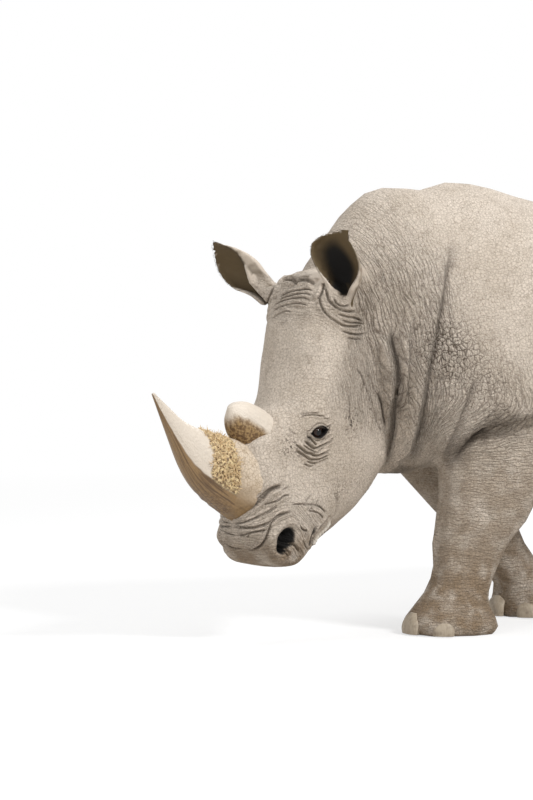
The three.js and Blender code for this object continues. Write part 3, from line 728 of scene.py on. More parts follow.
# The place of points round an eye: towards the rear corner, towards the lower lid, outwards.
def eyePlace(points):
    place = toHead(points)
    side = np.sign(place[:, 1])
    place[:, 1] = np.abs(place[:, 1])
    off = place - eye["at"]
    return off @ cornerWay, off @ lidWay, off[:, 1], side


# How far outside the opening between the lids a point lies: the lids' edges stand at
# height * (1 - (t / length)^2)^0.7 above and below.
def lidDistance(back, down):
    share = np.clip(np.abs(back) / eye["length"], 0, 1)
    height = np.where(down > 0, eye["below"], eye["above"]) * (1 - share**2) ** 0.7
    return np.maximum(np.abs(down) - height, np.abs(back) - eye["length"])


# Round an eye the skin covers a ball, sqrt(lidRadius^2 - d^2), where that stands out further.
# The lids' edge and the groove round it add height * exp(-((apart - distance) / width)^2), and
# between the lids the skin sinks to the ball less the recess.
def shapeLids(points):
    back, down, outwards, side = eyePlace(points)
    flat = np.hypot(back, down)
    near = (flat < eye["reach"]) & (outwards > -30) & (points[:, 0] > 900)
    ball = np.sqrt(np.maximum(eye["lidRadius"] ** 2 - flat**2, 0))
    apart = lidDistance(back, down)
    lid = np.where(flat < eye["lidRadius"], np.maximum(outwards, ball), outwards)
    for height, distance, width in (eye["edge"], eye["groove"]):
        lid = lid + height * np.exp(-(((apart - distance) / width) ** 2))
    deep = np.minimum(ball - eye["recess"], outwards)
    share = rise(apart, -2.5, 1)
    target = np.where(apart < 25, lid * share + deep * (1 - share), outwards)
    move = np.where(near, target - outwards, 0)
    return points + (move * side)[:, None] * headAxes()[1]


# The place of points round a nostril: along its long way, across it, and whether they are near.
def nostrilPlace(points):
    place = toHead(points)
    off = np.stack([place[:, 0], np.abs(place[:, 1]), place[:, 2]], axis=1) - nostril["at"]
    long = np.array(nostril["long"])
    a = off[:, 0] * long[0] + off[:, 2] * long[1]
    b = off[:, 0] * -long[1] + off[:, 2] * long[0]
    return a, b, np.abs(off[:, 1]) < 50


# The opening is an ellipse blended with a round tail: rho = -log(e^(-4 r1) + e^(-4 r2)) / 4.
# The skin sinks by depth * (1 - rise(rho, 0.45, 1)), and a rim of
# rim * exp(-((rho - 1.32) / 0.28)^2) stands round it, full only where b is above 30.
def nostrilHeights(points):
    a, b, near = nostrilPlace(points)
    rho = np.hypot(a / nostril["half"][0], b / nostril["half"][1])
    back, down, radius = nostril["tail"]
    rho = -np.log(np.exp(-4 * rho) + np.exp(-4 * np.hypot(a - back, b - down) / radius)) / 4
    hole = -nostril["depth"] * (1 - rise(rho, 0.45, 1))
    rim = nostril["rim"] * np.exp(-(((rho - 1.32) / 0.28) ** 2)) * (0.25 + 0.75 * rise(b, -10, 30))
    # With the heights it returns the share of painted shade inside the opening.
    return np.where(near, hole + rim, 0), np.where(near, 1 - rise(rho, 0.85, 1.12), 0)


# Skin that climbs the foot of each horn: climb * exp(-(d / 26)^2), with d the distance outside
# the ellipse of the foot.
def collarHeights(points):
    u, w, v = toHead(points).T
    height = np.zeros(len(points))
    for middle, long, wide, climb in hornFeet.values():
        apart = (np.hypot((u - middle) / long, w / wide) - 1) * wide
        climb = climb * (1 - rise(u, 800, 900))
        height = np.maximum(height, climb * np.exp(-((np.maximum(apart, 0) / 26) ** 2)))
    return height * rise(v, -90, -30)


# Lumps and the gap between the lips are laid out by their place seen from the head's side.
def lumpHeights(points):
    place = toHead(points) * (1, 0, 1)
    near = np.abs(toHead(points)[:, 1]) > 60
    found = [bell(place, np.array(at) * (1, 0, 1), lumps["reach"]) for at in lumps["places"]]
    return sum(found).clip(0, 1) * near


# The gap between the lips: sunk by its depth, and painted black as shade.
def mouthShare(points):
    u, w, v = toHead(points).T
    (long, high), (atLong, atHigh) = mouthGap["half"], mouthGap["at"]
    away = np.hypot((u - atLong) / long, (v - atHigh) / high)
    return (1 - rise(away, 0.6, 1.1)) * (np.abs(w) > 60)


# Smooth random heights from -1 to 1: random values on a lattice of the given size in mm,
# blended between its corners by 3t^2 - 2t^3.
def clouds(points, size, seed):
    table = np.random.default_rng(seed).uniform(-1, 1, 4096)
    cell = np.floor(points / size).astype(np.int64)
    t = points / size - cell
    t = t * t * (3 - 2 * t)
    total = np.zeros(len(points))
    for corner in np.ndindex(2, 2, 2):
        at = cell + corner
        key = (at[:, 0] * 73856093) ^ (at[:, 1] * 19349663) ^ (at[:, 2] * 83492791)
        share = np.prod(np.where(corner, t, 1 - t), axis=1)
        total += share * table[key & 4095]
    return total


# The distance along the animal from rump to lips, in mm. Wrinkles run round it. On a leg it
# is a height, shifted so that it meets the trunk's value at the leg's top.
def alongAnimal(points):
    f, left, up = points.T
    trunk = f + 0.3 * left * rise(f, 650, 1100) - 0.32 * rise(f, 560, 1000) * (up - 1100)
    u, _, v = toHead(points).T
    low = np.maximum(-40 - v, 0)
    slant = 1.2 * (1 - 0.7 * rise(u, 600, 900)) * low**2 / (low + 60)
    headShare = rise(u + 0.8 * v, -110, 90) * rise(f - 0.5 * np.maximum(700 - up, 0), 690, 800)
    slant = slant + rise(u, 740, 860) * np.maximum(v + 150, 0)
    along = trunk * (1 - headShare) + (1000 + u - slant) * headShare
    aside = 0.4 * (np.abs(left) - 200)
    front = rise(f, 20, 180) * (1 - rise(f, 690, 790)) * (1 - rise(up - aside, 560, 900))
    hind = (1 - rise(f, -620, -480)) * (1 - rise(up - aside, 660, 1020))
    low = 1 - rise(up, 500, 580)
    front = np.maximum(front, low * (f > -320) * (1 - headShare))
    hind = np.maximum(hind, low * (f < -320))
    along = along * (1 - front) + (up - 350) * front
    along = along * (1 - hind) + (-100 - up) * hind
    return along, headShare, np.maximum(front, hind)


def neckShare(points, along, legShare):
    neck = rise(along, 600, 730) * (1 - rise(along, 1120, 1420)) * (1 - legShare)
    return neck * (0.35 + 0.65 * (1 - rise(points[:, 2], 1250, 1560)))


# Loose skin lies in pleats round the neck: depth * (|sin(pi (along + sway) / pitch)| - 0.6).
pleat = {"pitch": 34, "sway": 14, "depth": 4}


def pleats(points):
    along, _, legShare = alongAnimal(points)
    sway = pleat["sway"] * clouds(points * (1, 1, 0.5), 90, 5)
    wave = np.abs(np.sin(np.pi * (along + sway) / pleat["pitch"])) - 0.6
    size = 0.5 + 0.5 * clouds(points, 150, 6)
    return pleat["depth"] * wave * size * neckShare(points, along, legShare)


tree = BVHTree.FromObject(skin, bpy.context.evaluated_depsgraph_get())
laid = layFolds(tree)
points = readPoints(skin.data)
normals = readNormals(skin.data)
height, _ = foldHeights(points, laid)
hollow, _ = nostrilHeights(points)
broad = 3 * clouds(points, 130, 1) + 1.6 * clouds(points, 60, 2) + pleats(points)
height = height + hollow + collarHeights(points) + lumps["height"] * lumpHeights(points)
height = height - mouthGap["depth"] * mouthShare(points)
points = points + (height + broad * (1 - inEar(points)))[:, None] * normals
points = shapeLids(points)
points[:, 2] = np.maximum(points[:, 2], 0)
writePoints(skin.data, points)
print("folds made")

guard = skin.vertex_groups.new(name="thin out")
place = toHead(points)
inHead = chosenBy(points, "head") | (inEar(points) > 0.5)
inFine = np.logical_or.reduce([chosenBy(points, name) for name in finest])
for name, chosen, amount in (("rest", ~inHead, 1.0), ("head", inHead & ~inFine, 0.85),
                             ("fine", inFine, 0.4)):
    guard.add(np.flatnonzero(chosen).tolist(), amount, "REPLACE")
thin = skin.modifiers.new("thinner mesh", "DECIMATE")
triangles = sum(len(p.vertices) - 2 for p in skin.data.polygons)
thin.ratio = body["most"] / triangles
thin.vertex_group = guard.name
settle(skin)
skin.vertex_groups.clear()
points = readPoints(skin.data)
print("thinned to", sum(len(p.vertices) - 2 for p in skin.data.polygons), "triangles")
points[:, 2] = np.maximum(points[:, 2], 0)
writePoints(skin.data, points)
print("of them in the head:", int((chosenBy(points, "head")).sum()), "points")


# Named shares of each point, 0 to 1, that the hide's material reads.
def hideShares(points):
    along, headShare, legShare = alongAnimal(points)
    left, up = points[:, 1:].T
    u, w, v = toHead(points).T
    w = np.abs(w)
    ear = inEar(points)
    neck = neckShare(points, along, legShare)
    crown = headShare * rise(v, -130, -10) * (1 - rise(u, 150, 260))
    muzzle = headShare * rise(u, 760, 920)
    cheek = headShare * rise(-v, 60, 160) * (1 - rise(u, 340, 560))
    overLeg = bell(points * (1, 0, 1), (500, 0, 860), 190) * rise(np.abs(left), 200, 300)
    lines = neck * (1 - headShare) + 0.5 * crown + 0.6 * muzzle + 0.8 * cheek
    lines = (lines + 0.7 * overLeg + 0.5 * legShare).clip(0, 1) * (1 - ear)
    shoulder = rise(np.abs(left), 200, 300)
    pebbles = bell(points * (1, 0, 1), (705, 0, 1070), 105) * shoulder
    pebbles += 0.5 * bell(points * (1, 0, 1), (560, 0, 930), 110) * shoulder
    lip = headShare * rise(u - 0.6 * v, 1010, 1150)
    earth = 0.75 * rise(-up, -420, -60) + 0.7 * lip + 0.5 * rise(-up, -800, -560) * (1 - headShare)
    _, foldShade = foldHeights(points, laid)
    back, down, outwards, _ = eyePlace(points)
    apart = lidDistance(back, down)
    atEye = (np.abs(outwards - 18) < 45) * headShare
    # Painted shade in the groove round each eye's lids.
    foldShade = np.maximum(foldShade, 0.75 * np.exp(-(((apart - 12.5) / 2.5) ** 2)) * atEye)
    # Painted shade, near black: inside the nostrils, in the mouth's gap and on the lids' rims
    # round each eye; with it a dark spot at each eye's front corner.
    _, hole = nostrilHeights(points)
    rim = (1 - rise(apart, 1.5, 8.5)) * atEye
    place = np.stack([u, w, v], axis=1)
    tear = bell(place, (611, 132, -104), 15) * headShare
    specks = headShare * (bell(place, (664, 98, -50), 42) + bell(place, (478, 174, -262), 52)
                          + 0.5 * bell(place, (720, 120, -330), 60))
    inside, deep = earHollow(points)
    return {"lie": along * mm, "lines": lines, "pebbles": pebbles.clip(0, 1),
            "earth": earth.clip(0, 1), "foldShade": foldShade.clip(0, 1),
            "hole": np.max([hole, rim, 0.8 * tear, 0.9 * mouthShare(points)], axis=0),
            "specks": specks.clip(0, 1),
            "lump": lumpHeights(points), "ear": inside, "earHollowShade": deep, "wide": 1 - ear}


# The inside of each ear's scoop and, within it, the hollow painted black as shade: an ellipse
# whose middle and half sizes are across the ear (1 = its half width) and in mm up it.
def earHollow(points):
    insides, hollows = np.zeros(len(points)), np.zeros(len(points))
    rows = np.array(head["earRows"])
    for ear in head["ears"].values():
        up, wide, out = earAxes(ear)
        off = points - ear["root"]
        level = off @ up
        at = [np.interp(level, rows[:, 0], rows[:, column]) for column in (1, 2, 4)]
        a = (off @ wide - ear["bend"] * at[2]) / (at[0] / 2)
        b = (off @ out) / (at[1] / 2)
        wall = np.hypot(a, b) - 0.1 * rise(b, -0.6, -0.1)
        inside = (1 - rise(wall, 0.86, 0.96)) * (level > 15) * (level < 340) * (b < 0.4)
        insides = np.maximum(insides, inside)
        across, high, halfAcross, halfHigh = ear["hollow"]
        rho = np.hypot((a - across) / halfAcross, (level - high) / halfHigh)
        hollows = np.maximum(hollows, inside * (1 - rise(rho, 0.6, 1.15)))
    return insides, hollows


for name, values in hideShares(points).items():
    store = skin.data.attributes.new(name, "FLOAT", "POINT")
    store.data.foreach_set("value", values.astype(np.float32))
skin.data.polygons.foreach_set("use_smooth", np.ones(len(skin.data.polygons), bool))
print("hide mapped")


def colour(code):
    channels = np.array([int(code[i:i + 2], 16) / 255 for i in (1, 3, 5)])
    linear = np.where(channels <= 0.04045, channels / 12.92, ((channels + 0.055) / 1.055) ** 2.4)
    return (*linear, 1)


# Adds a node. Each value goes to the live socket of that name or number: a number or a colour
# as it is, and a node by a link from its first live output.
def node(tree, kind, values, **settings):
    made = tree.nodes.new("ShaderNode" + kind)
    for name, setting in settings.items():
        setattr(made, name, setting)
    live = [socket for socket in made.inputs if socket.enabled]
    for name, value in values.items():
        socket = live[name] if isinstance(name, int) else next(s for s in live if s.name == name)
        if isinstance(value, bpy.types.Node):
            value = next(output for output in value.outputs if output.enabled)
        if isinstance(value, bpy.types.NodeSocket):
            tree.links.new(value, socket)
        else:
            socket.default_value = value
    return made


def newMaterial(name):
    material = bpy.data.materials.new(name)
    material.use_nodes = True
    tree = material.node_tree
    tree.nodes.clear()
    return material, tree


# Thick hide, dry and dusty: a matte pale grey-beige skin, cracked into small plates, with
# wrinkles wherever it bends. Earth darkens the feet and the lips; painted shade darkens the
# cracks, the bottoms of folds, the holes and the ears' hollows.
# The finest plates are 2 mm on the animal, and drawn 5 mm wide here to show from afar.
hide = {
    "pale": "#d2c6b8", "mid": "#beb1a1", "dull": "#988a7a", "crack": "#52463b",
    "earth": "#80694c", "foldShade": "#3a2e23", "hole": "#0d0907", "speck": "#2a211b",
    "lump": "#ece5d9", "earInside": "#5f5039", "earHollowShade": "#0a0705",
    "roughness": 0.78, "ior": 1.45, "grain": 2.4,
    # The darkness in the gaps of each pattern is painted shade in the hide's cracks.
    "patterns": [  # where, mm across and along, how wide the gaps are, depth in mm, darkness
        ("lines", 13, 84, 0.15, 4.5, 0.32),
        ("lines", 7, 34, 0.18, 1.8, 0.18),
        ("wide", 12, 12, 0.14, 1.6, 0.22),
        ("all", 5, 5, 0.22, 0.5, 0.10),
        ("pebbles", 20, 20, 0.42, 6.0, 0),
        ("pebbles", 20, 20, 0.14, 2.0, 0.75),
    ],
    "clouds": [  # colour, where, size in mm, where it starts and is full, how much
        ("mid", "all", 190, 0.40, 0.64, 0.6),
        ("dull", "wide", 40, 0.50, 0.80, 0.45),
        ("dull", "wide", 9, 0.47, 0.72, 0.55),
        ("pale", "wide", 14, 0.55, 0.75, 0.45),
        ("earth", "earth", 70, 0.25, 0.62, 0.85),
        ("speck", "specks", 10, 0.53, 0.60, 0.9),
    ],
}


def makeHide():
    material, tree = newMaterial("rhinoceros hide")
    place = node(tree, "TexCoord", {}).outputs["Object"]
    share = {name: node(tree, "Attribute", {}, attribute_name=name).outputs["Fac"]
             for name in ("lie", "lines", "pebbles", "earth", "foldShade", "hole", "specks", "lump",
                          "ear", "earHollowShade", "wide")}
    share["all"] = 1.0
    # Every point is shifted a little, so that no line of a pattern runs straight.
    shift = node(tree, "TexNoise", {"Vector": place, "Scale": 14, "Detail": 2}).outputs["Color"]
    shifted = node(tree, "VectorMath", {0: shift, 1: (0.03,) * 3, 2: place},
                   operation="MULTIPLY_ADD")
    sway = node(tree, "TexNoise", {"Vector": place, "Scale": 9, "Detail": 2})
    lie = node(tree, "Math", {0: sway, 1: 0.03, 2: share["lie"]}, operation="MULTIPLY_ADD")
    part = node(tree, "SeparateXYZ", {0: place}).outputs
    slope = node(tree, "Math", {0: part[0], 1: part[2]}, operation="ADD")

    height, crack = 0.0, 0.0
    for name, over, along, gap, depth, darkness in hide["patterns"]:
        where = shifted
        if over != along:
            first = node(tree, "Math", {0: lie, 1: along / over}, operation="MULTIPLY")
            where = node(tree, "CombineXYZ", {0: first, 1: part[1], 2: slope})
        cells = node(tree, "TexVoronoi", {"Vector": where, "Scale": 1000 / along},
                     feature="DISTANCE_TO_EDGE")
        cut = node(tree, "MapRange", {"Value": cells, "From Max": gap, "To Min": 1, "To Max": 0},
                   interpolation_type="SMOOTHSTEP")
        cut = node(tree, "Math", {0: cut, 1: share[name]}, operation="MULTIPLY")
        height = node(tree, "Math", {0: cut, 1: -depth, 2: height}, operation="MULTIPLY_ADD")
        # Painted shade in the cracks between the plates.
        crack = node(tree, "Math", {0: cut, 1: darkness, 2: crack}, operation="MULTIPLY_ADD",
                     use_clamp=True)

    base = colour(hide["pale"])
    for name, where, size, low, high, most in hide["clouds"]:
        cloud = node(tree, "TexNoise", {"Vector": place, "Scale": 1000 / size, "Detail": 5})
        amount = node(tree, "MapRange", {"Value": cloud, "From Min": low, "From Max": high,
                                         "To Max": most}, interpolation_type="SMOOTHSTEP")
        amount = node(tree, "Math", {0: amount, 1: share[where]}, operation="MULTIPLY")
        base = node(tree, "Mix", {0: amount, 1: base, 2: colour(hide[name])}, data_type="RGBA")
        if size < 50:
            height = node(tree, "Math", {0: cloud, 1: size / 24, 2: height},
                          operation="MULTIPLY_ADD")
    # The colours of the cracks, the folds, the ears' hollows and the holes are painted shade.
    for name, amount, most in (("crack", crack, 1), ("lump", share["lump"], 0.95),
                               ("foldShade", share["foldShade"], 0.88), ("earInside", share["ear"], 1),
                               ("earHollowShade", share["earHollowShade"], 1), ("hole", share["hole"], 1)):
        amount = node(tree, "Math", {0: amount, 1: most}, operation="MULTIPLY")
        base = node(tree, "Mix", {0: amount, 1: base, 2: colour(hide[name])}, data_type="RGBA")
    grain = node(tree, "TexNoise", {"Vector": place, "Scale": 1000 / hide["grain"], "Detail": 2})
    height = node(tree, "Math", {0: grain, 1: 0.5, 2: height}, operation="MULTIPLY_ADD")
    bump = node(tree, "Bump", {"Distance": mm, "Height": height})
    surface = node(tree, "BsdfPrincipled", {
        "Base Color": base, "Normal": bump, "Roughness": hide["roughness"], "IOR": hide["ior"],
        "Specular IOR Level": 0.35})
    node(tree, "OutputMaterial", {"Surface": surface})
    return material


skin.data.materials.clear()
skin.data.materials.append(makeHide())
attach(skin, "root")
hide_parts("trunk", "neck", "head", "tail", "ear_left", "ear_right", "leg_front_left",
            "leg_front_right", "leg_hind_left", "leg_hind_right")
print("skin dressed")

eyeball = {"radius": 24, "bulge": 1.4, "look": (0.16, 1, 0.12), "iris": "#2a170c",
           "rim": "#120a06", "pupil": "#020202", "white": "#4a3427"}


# A ball whose distance from its middle is radius + bulge * exp(-(angle / 0.55)^2), with the
# angle measured from the way it looks. The eyes' UV map holds that angle over pi.
def sphereGrid(side):
    angle = np.linspace(0.02, np.pi - 0.02, 48)[:, None]
    turn = np.linspace(0, 2 * np.pi, 64, endpoint=False)[None, :]
    look = np.array(eyeball["look"]) * (1, side, 1)
    look /= np.linalg.norm(look)
    across = np.cross(look, (1, 0, 0))
    across /= np.linalg.norm(across)
    third = np.cross(look, across)
    radius = eyeball["radius"] + eyeball["bulge"] * np.exp(-((angle / 0.55) ** 2))
    way = (np.cos(angle)[..., None] * look + (np.sin(angle) * np.cos(turn))[..., None] * across
           + (np.sin(angle) * np.sin(turn))[..., None] * third)
    return fromHead(np.array(eye["at"]) * (1, side, 1) + radius[..., None] * way), angle


# Gives a mesh a UV map from one pair of numbers for each point.
def pointMap(obj, name, pairs):
    store = obj.data.uv_layers.new(name=name)
    corners = np.empty(len(obj.data.loops), np.int32)
    obj.data.loops.foreach_get("vertex_index", corners)
    store.data.foreach_set("uv", pairs[corners].astype(np.float32).ravel())


# A live eye is wet: a dark brown iris and a wide black pupil under one glossy surface.
def makeEyeMaterial():
    material, tree = newMaterial("wet dark eye")
    where = node(tree, "UVMap", {}, uv_map="gaze")
    ramp = node(tree, "ValToRGB", {"Fac": node(tree, "SeparateXYZ", {0: where})})
    stops = ramp.color_ramp.elements
    stops[0].position, stops[0].color = 0.15, colour(eyeball["pupil"])
    stops[1].position, stops[1].color = 0.19, colour(eyeball["iris"])
    for place, name in ((0.3, "iris"), (0.36, "rim"), (0.42, "white")):
        stop = stops.new(place)
        stop.color = colour(eyeball[name])
    surface = node(tree, "BsdfPrincipled", {"Base Color": ramp, "Roughness": 0.06, "IOR": 1.38})
    node(tree, "OutputMaterial", {"Surface": surface})
    return material


eyeMaterial = makeEyeMaterial()
balls, gazes = [], []
for side in (1, -1):
    grid, angle = sphereGrid(side)
    balls.append(ringMesh(grid))
    gaze = np.broadcast_to(angle / np.pi, grid.shape[:2]).ravel()
    gazes.append(np.concatenate([gaze, [0, 1]]))
eyes = makeObject("eyes", *joined(balls), eyeMaterial)
gaze = np.concatenate(gazes)
pointMap(eyes, "gaze", np.stack([gaze, gaze * 0 + 0.5], axis=1))
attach(eyes, "root")
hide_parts("eye_left", "eye_right")

horns = {
    "front": [
        section((990, 10), (700, 10), 84),
        section((984, 100), (714, 100), 84),
        section((974, 190), (730, 195), 80),
        section((953, 275), (750, 282), 68),
        section((915, 352), (760, 360), 54),
        section((861, 432), (762, 432), 38),
        section((796, 527), (748, 514), 21),
        section((740, 606), (731, 600), 6),
    ],
    "rear": [
        section((732, 45), (564, -40), 62, over=2.2, under=2.2),
        section((726, 112), (562, 30), 61, over=2.2, under=2.2),
        section((706, 160), (562, 92), 54, over=2.2, under=2.2),
        section((670, 194), (572, 150), 38, over=2.2, under=2.2),
        section((626, 213), (592, 190), 14),
    ],
    "ridge": 2.6, "ridgeWidth": 9, "rough": 3.5, "curd": 3.5,
    "bandSlope": 0.463, "band": (140, 285),  # the frayed band, by its height over a slope
    "pale": "#d8cdbe", "grey": "#c6bbae", "brown": "#866a47", "straw": "#dcc698",
    "umber": "#5d4428", "collar": "#dacdbd", "split": "#bba88d",
    "shade": "#6d5436", "tan": "#957a52",
}


# Shares of the horn by place, 0 to 1: its brown face, the dark ridge down the middle of that,
# the line along the face's border, the frayed band, the pale foot, the tanned part of the foot
# and the speckled horn. Each is a product of smooth steps in height and turn.
def hornShares(grid, turn, isFront):
    u, _, v = grid.reshape(-1, 3).T
    wobble = clouds(grid.reshape(-1, 3), 24, 31)
    aside = np.abs((turn.ravel() / (2 * np.pi) - 0.25 + 0.5) % 1 - 0.5)
    level = v + horns["bandSlope"] * (u - 850) + 10 * wobble
    low, high = horns["band"]
    if not isFront:
        speckled = rise(u + 14 * wobble, 635, 672) * (1 - rise(v, 175, 212))
        return {"face": 0 * u, "ridge": 0 * u, "border": 0 * u, "frayed": 0 * u, "foot": 0 * u,
                "tanned": 0 * u, "speckled": speckled}
    border = np.interp(v, [0, 200, 260, 600], [0.16, 0.155, 0.15, 0.085]) + 0.004 * wobble
    face = 1 - rise(aside, border - 0.006, border + 0.006)
    under = 1 - rise(level, low - 8, low + 8)
    frayed = rise(aside, border - 0.006, border + 0.008) * (1 - under)
    frayed = frayed * (1 - rise(level, high - 8, high + 8))
    edge = np.exp(-(((aside - border) / 0.006) ** 2)) * rise(v, 160, 260)
    ridge = 0.9 * face * (1 - rise(v, 150, 360)) * (1 - rise(aside, 0.04, 0.14))
    foot = under * rise(aside, 0.1, 0.26)
    return {"face": np.maximum(face, under - foot), "ridge": ridge, "border": edge,
            "frayed": frayed, "foot": foot, "tanned": 0.6 * under * (1 - rise(aside, 0.12, 0.3)),
            "speckled": 0 * u}


# A horn's sections, roughened along the outward way: ridges that run up it, broad lumps low
# down and coarse curds in the frayed band. All are clouds of the named sizes.
def hornGrid(name, along, around, seed):
    grid = loft(horns[name], along, around)
    share = np.linspace(0, 1, along)[:, None] * np.ones((1, around))
    turn = np.linspace(0, 2 * np.pi, around, endpoint=False)[None, :] * np.ones((along, 1))
    out = grid - grid.mean(axis=1, keepdims=True)
    out = out / np.maximum(np.linalg.norm(out, axis=2, keepdims=True), 1e-6)
    ring = np.stack([np.cos(turn) * 60, np.sin(turn) * 60, share * 40], axis=-1).reshape(-1, 3)
    ridges = clouds(ring, horns["ridgeWidth"], seed).reshape(along, around)
    shares = hornShares(grid, turn, name == "front")
    lumps = clouds(grid.reshape(-1, 3), 26, seed + 1).reshape(along, around)
    curds = clouds(grid.reshape(-1, 3), 7, seed + 2).reshape(along, around)
    low = 1 - rise(share, 0.15, 0.55)
    height = horns["ridge"] * ridges * (0.25 + 0.75 * low) + horns["rough"] * lumps * low
    height += horns["curd"] * (0.5 + curds) * shares["frayed"].reshape(along, around)
    height *= rise(1 - share, 0, 0.12)
    return fromHead(grid + height[..., None] * out), turn, share, shares


# Horn is packed hair-like keratin: rubbed smooth and pale towards the tip, fibrous and brown
# down its front, split into straw-like ends in a band near the foot, scaly and pale below it.
def makeHorn():
    material, tree = newMaterial("keratin of the horns")
    place = node(tree, "TexCoord", {}).outputs["Object"]
    share = {name: node(tree, "Attribute", {}, attribute_name=name).outputs["Fac"]
             for name in ("face", "ridge", "border", "frayed", "foot", "tanned", "speckled")}
    growth = node(tree, "SeparateXYZ", {0: node(tree, "UVMap", {}, uv_map="growth")}).outputs
    across = node(tree, "Math", {0: growth[0], 1: 90.0}, operation="MULTIPLY")
    upwards = node(tree, "Math", {0: growth[1], 1: 4.0}, operation="MULTIPLY")
    fibres = node(tree, "CombineXYZ", {0: across, 1: upwards})
    fibre = node(tree, "TexNoise", {"Vector": fibres, "Scale": 1.0, "Detail": 4})
    fine = node(tree, "TexNoise", {"Vector": place, "Scale": 330, "Detail": 2})
    mottle = node(tree, "TexNoise", {"Vector": place, "Scale": 105, "Detail": 6})
    sharp = node(tree, "MapRange", {"Value": mottle, "From Min": 0.38, "From Max": 0.62},
                 interpolation_type="SMOOTHSTEP")
    streaks = node(tree, "MapRange", {"Value": fibre, "From Min": 0.46, "From Max": 0.62},
                   interpolation_type="SMOOTHSTEP")
    blotch = node(tree, "TexNoise", {"Vector": place, "Scale": 25, "Detail": 6})
    base = colour(horns["pale"])
    lines = node(tree, "TexVoronoi", {"Vector": place, "Scale": 80}, feature="DISTANCE_TO_EDGE")
    gaps = node(tree, "MapRange", {"Value": lines, "From Max": 0.12, "To Min": 0.5, "To Max": 0},
                interpolation_type="SMOOTHSTEP")
    layers = (  # colour, amount, and the pattern that breaks it up
        ("grey", 0.8, fibre), ("brown", share["face"], None), ("tan", share["face"], fibre),
        ("umber", share["face"], streaks), ("umber", share["ridge"], sharp),
        ("collar", share["foot"], None), ("split", share["foot"], blotch),
        ("shade", share["foot"], gaps), ("tan", share["tanned"], None),
        ("umber", share["tanned"], blotch), ("tan", share["speckled"], None),
        ("umber", share["speckled"], sharp), ("shade", share["frayed"], None),
        ("straw", share["frayed"], sharp), ("umber", share["border"], fibre))
    for name, amount, streak in layers:
        if streak is not None:
            amount = node(tree, "Math", {0: amount, 1: streak}, operation="MULTIPLY")
        base = node(tree, "Mix", {0: amount, 1: base, 2: colour(horns[name])}, data_type="RGBA")
    height = node(tree, "Math", {0: fine, 1: 0.4, 2: fibre}, operation="MULTIPLY_ADD")
    height = node(tree, "Math", {0: mottle, 1: 2.0, 2: height}, operation="MULTIPLY_ADD")
    bump = node(tree, "Bump", {"Distance": 1.6 * mm, "Height": height})
    worn = node(tree, "Math", {0: share["foot"], 1: share["speckled"]}, operation="MAXIMUM")
    rough = node(tree, "MapRange", {"Value": worn, "To Min": 0.5, "To Max": 0.85})
    surface = node(tree, "BsdfPrincipled", {"Base Color": base, "Roughness": rough,
                                            "Normal": bump, "IOR": 1.54})
    node(tree, "OutputMaterial", {"Surface": surface})
    return material


hornMaterial = makeHorn()
for name, size, seed in (("front", (260, 224), 11), ("rear", (130, 160), 21)):
    grid, turn, share, shares = hornGrid(name, *size, seed)
    obj = makeObject(name + "Horn", *ringMesh(grid), hornMaterial)
    pairs = np.stack([turn.ravel() / (2 * np.pi), share.ravel()], axis=1)
    pointMap(obj, "growth", np.concatenate([pairs, [[0, 0], [0, 1]]]))
    for kind, values in shares.items():
        store = obj.data.attributes.new(kind, "FLOAT", "POINT")
        store.data.foreach_set("value", np.append(values, [values[0], values[-1]]))
    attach(obj, "root")
    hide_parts("horn_" + name)
print("eyes and horns made")

nails = {
    "ring": (180, 158), "sink": 40,
    "feet": {"front_left": (626, 222, 1), "front_right": (31, 200, -1),
             "hind_left": (-1133, 220, 1), "hind_right": (-659, 220, -1)},
    "toes": {"inner": (-56, 40, 66), "middle": (0, 58, 82), "outer": (56, 42, 68)},
    "rows": [(0.05, 9, 0.95), (0.3, 10, 1.0), (0.55, 6, 0.95), (0.78, -3, 0.78), (1, -14, 0.34)],
    "pale": "#b5a996", "dull": "#8b7c69", "dirt": "#5f5142",
}


def nailGrid(foot, toe):
    forward, left, side = foot
    angle, half, height = toe
    rows = [section((out, share * height), (out - nails["sink"], share * height), half * width,
                    level=0.35, over=2.6) for share, out, width in nails["rows"]]
    grid = loft(rows, 40, 56)
    way = np.radians(angle * side)
    x = grid[..., 0] * np.cos(way) - grid[..., 1] * np.sin(way)
    y = grid[..., 0] * np.sin(way) + grid[..., 1] * np.cos(way)
    return np.stack([x + forward + nails["ring"][0] * np.cos(way),
                     y + left * side + nails["ring"][1] * np.sin(way), grid[..., 2]], axis=-1)


# Nails are dull horn, dusty and scuffed, with fine upright ridges.
def makeNailMaterial():
    material, tree = newMaterial("dusty toenail horn")
    place = node(tree, "TexCoord", {}).outputs["Object"]
    ridges = node(tree, "Mapping", {"Vector": place, "Scale": (1, 1, 0.12)})
    streak = node(tree, "TexNoise", {"Vector": ridges, "Scale": 160, "Detail": 3})
    dust = node(tree, "TexNoise", {"Vector": place, "Scale": 32, "Detail": 5})
    spots = node(tree, "MapRange", {"Value": dust, "From Min": 0.5, "From Max": 0.72,
                                    "To Max": 0.7})
    base = node(tree, "Mix", {0: streak, 1: colour(nails["dull"]), 2: colour(nails["pale"])},
                data_type="RGBA")
    base = node(tree, "Mix", {0: spots, 1: base, 2: colour(nails["dirt"])}, data_type="RGBA")
    bump = node(tree, "Bump", {"Distance": 1.0 * mm, "Height": streak})
    surface = node(tree, "BsdfPrincipled", {"Base Color": base, "Normal": bump,
                                            "Roughness": 0.62, "IOR": 1.54})
    node(tree, "OutputMaterial", {"Surface": surface})
    return material


shapes = [ringMesh(nailGrid(foot, toe)) for foot in nails["feet"].values()
          for toe in nails["toes"].values()]
toenails = makeObject("toenails", *joined(shapes), makeNailMaterial())
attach(toenails, "root")
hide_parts(*(f"nail_{foot}_{toe}" for foot in nails["feet"] for toe in nails["toes"]))
print("toenails made")

hair = {"dark": "#2b2019", "light": "#4a3a2d", "straw": "#ecd5ac", "strawDark": "#b08f62"}


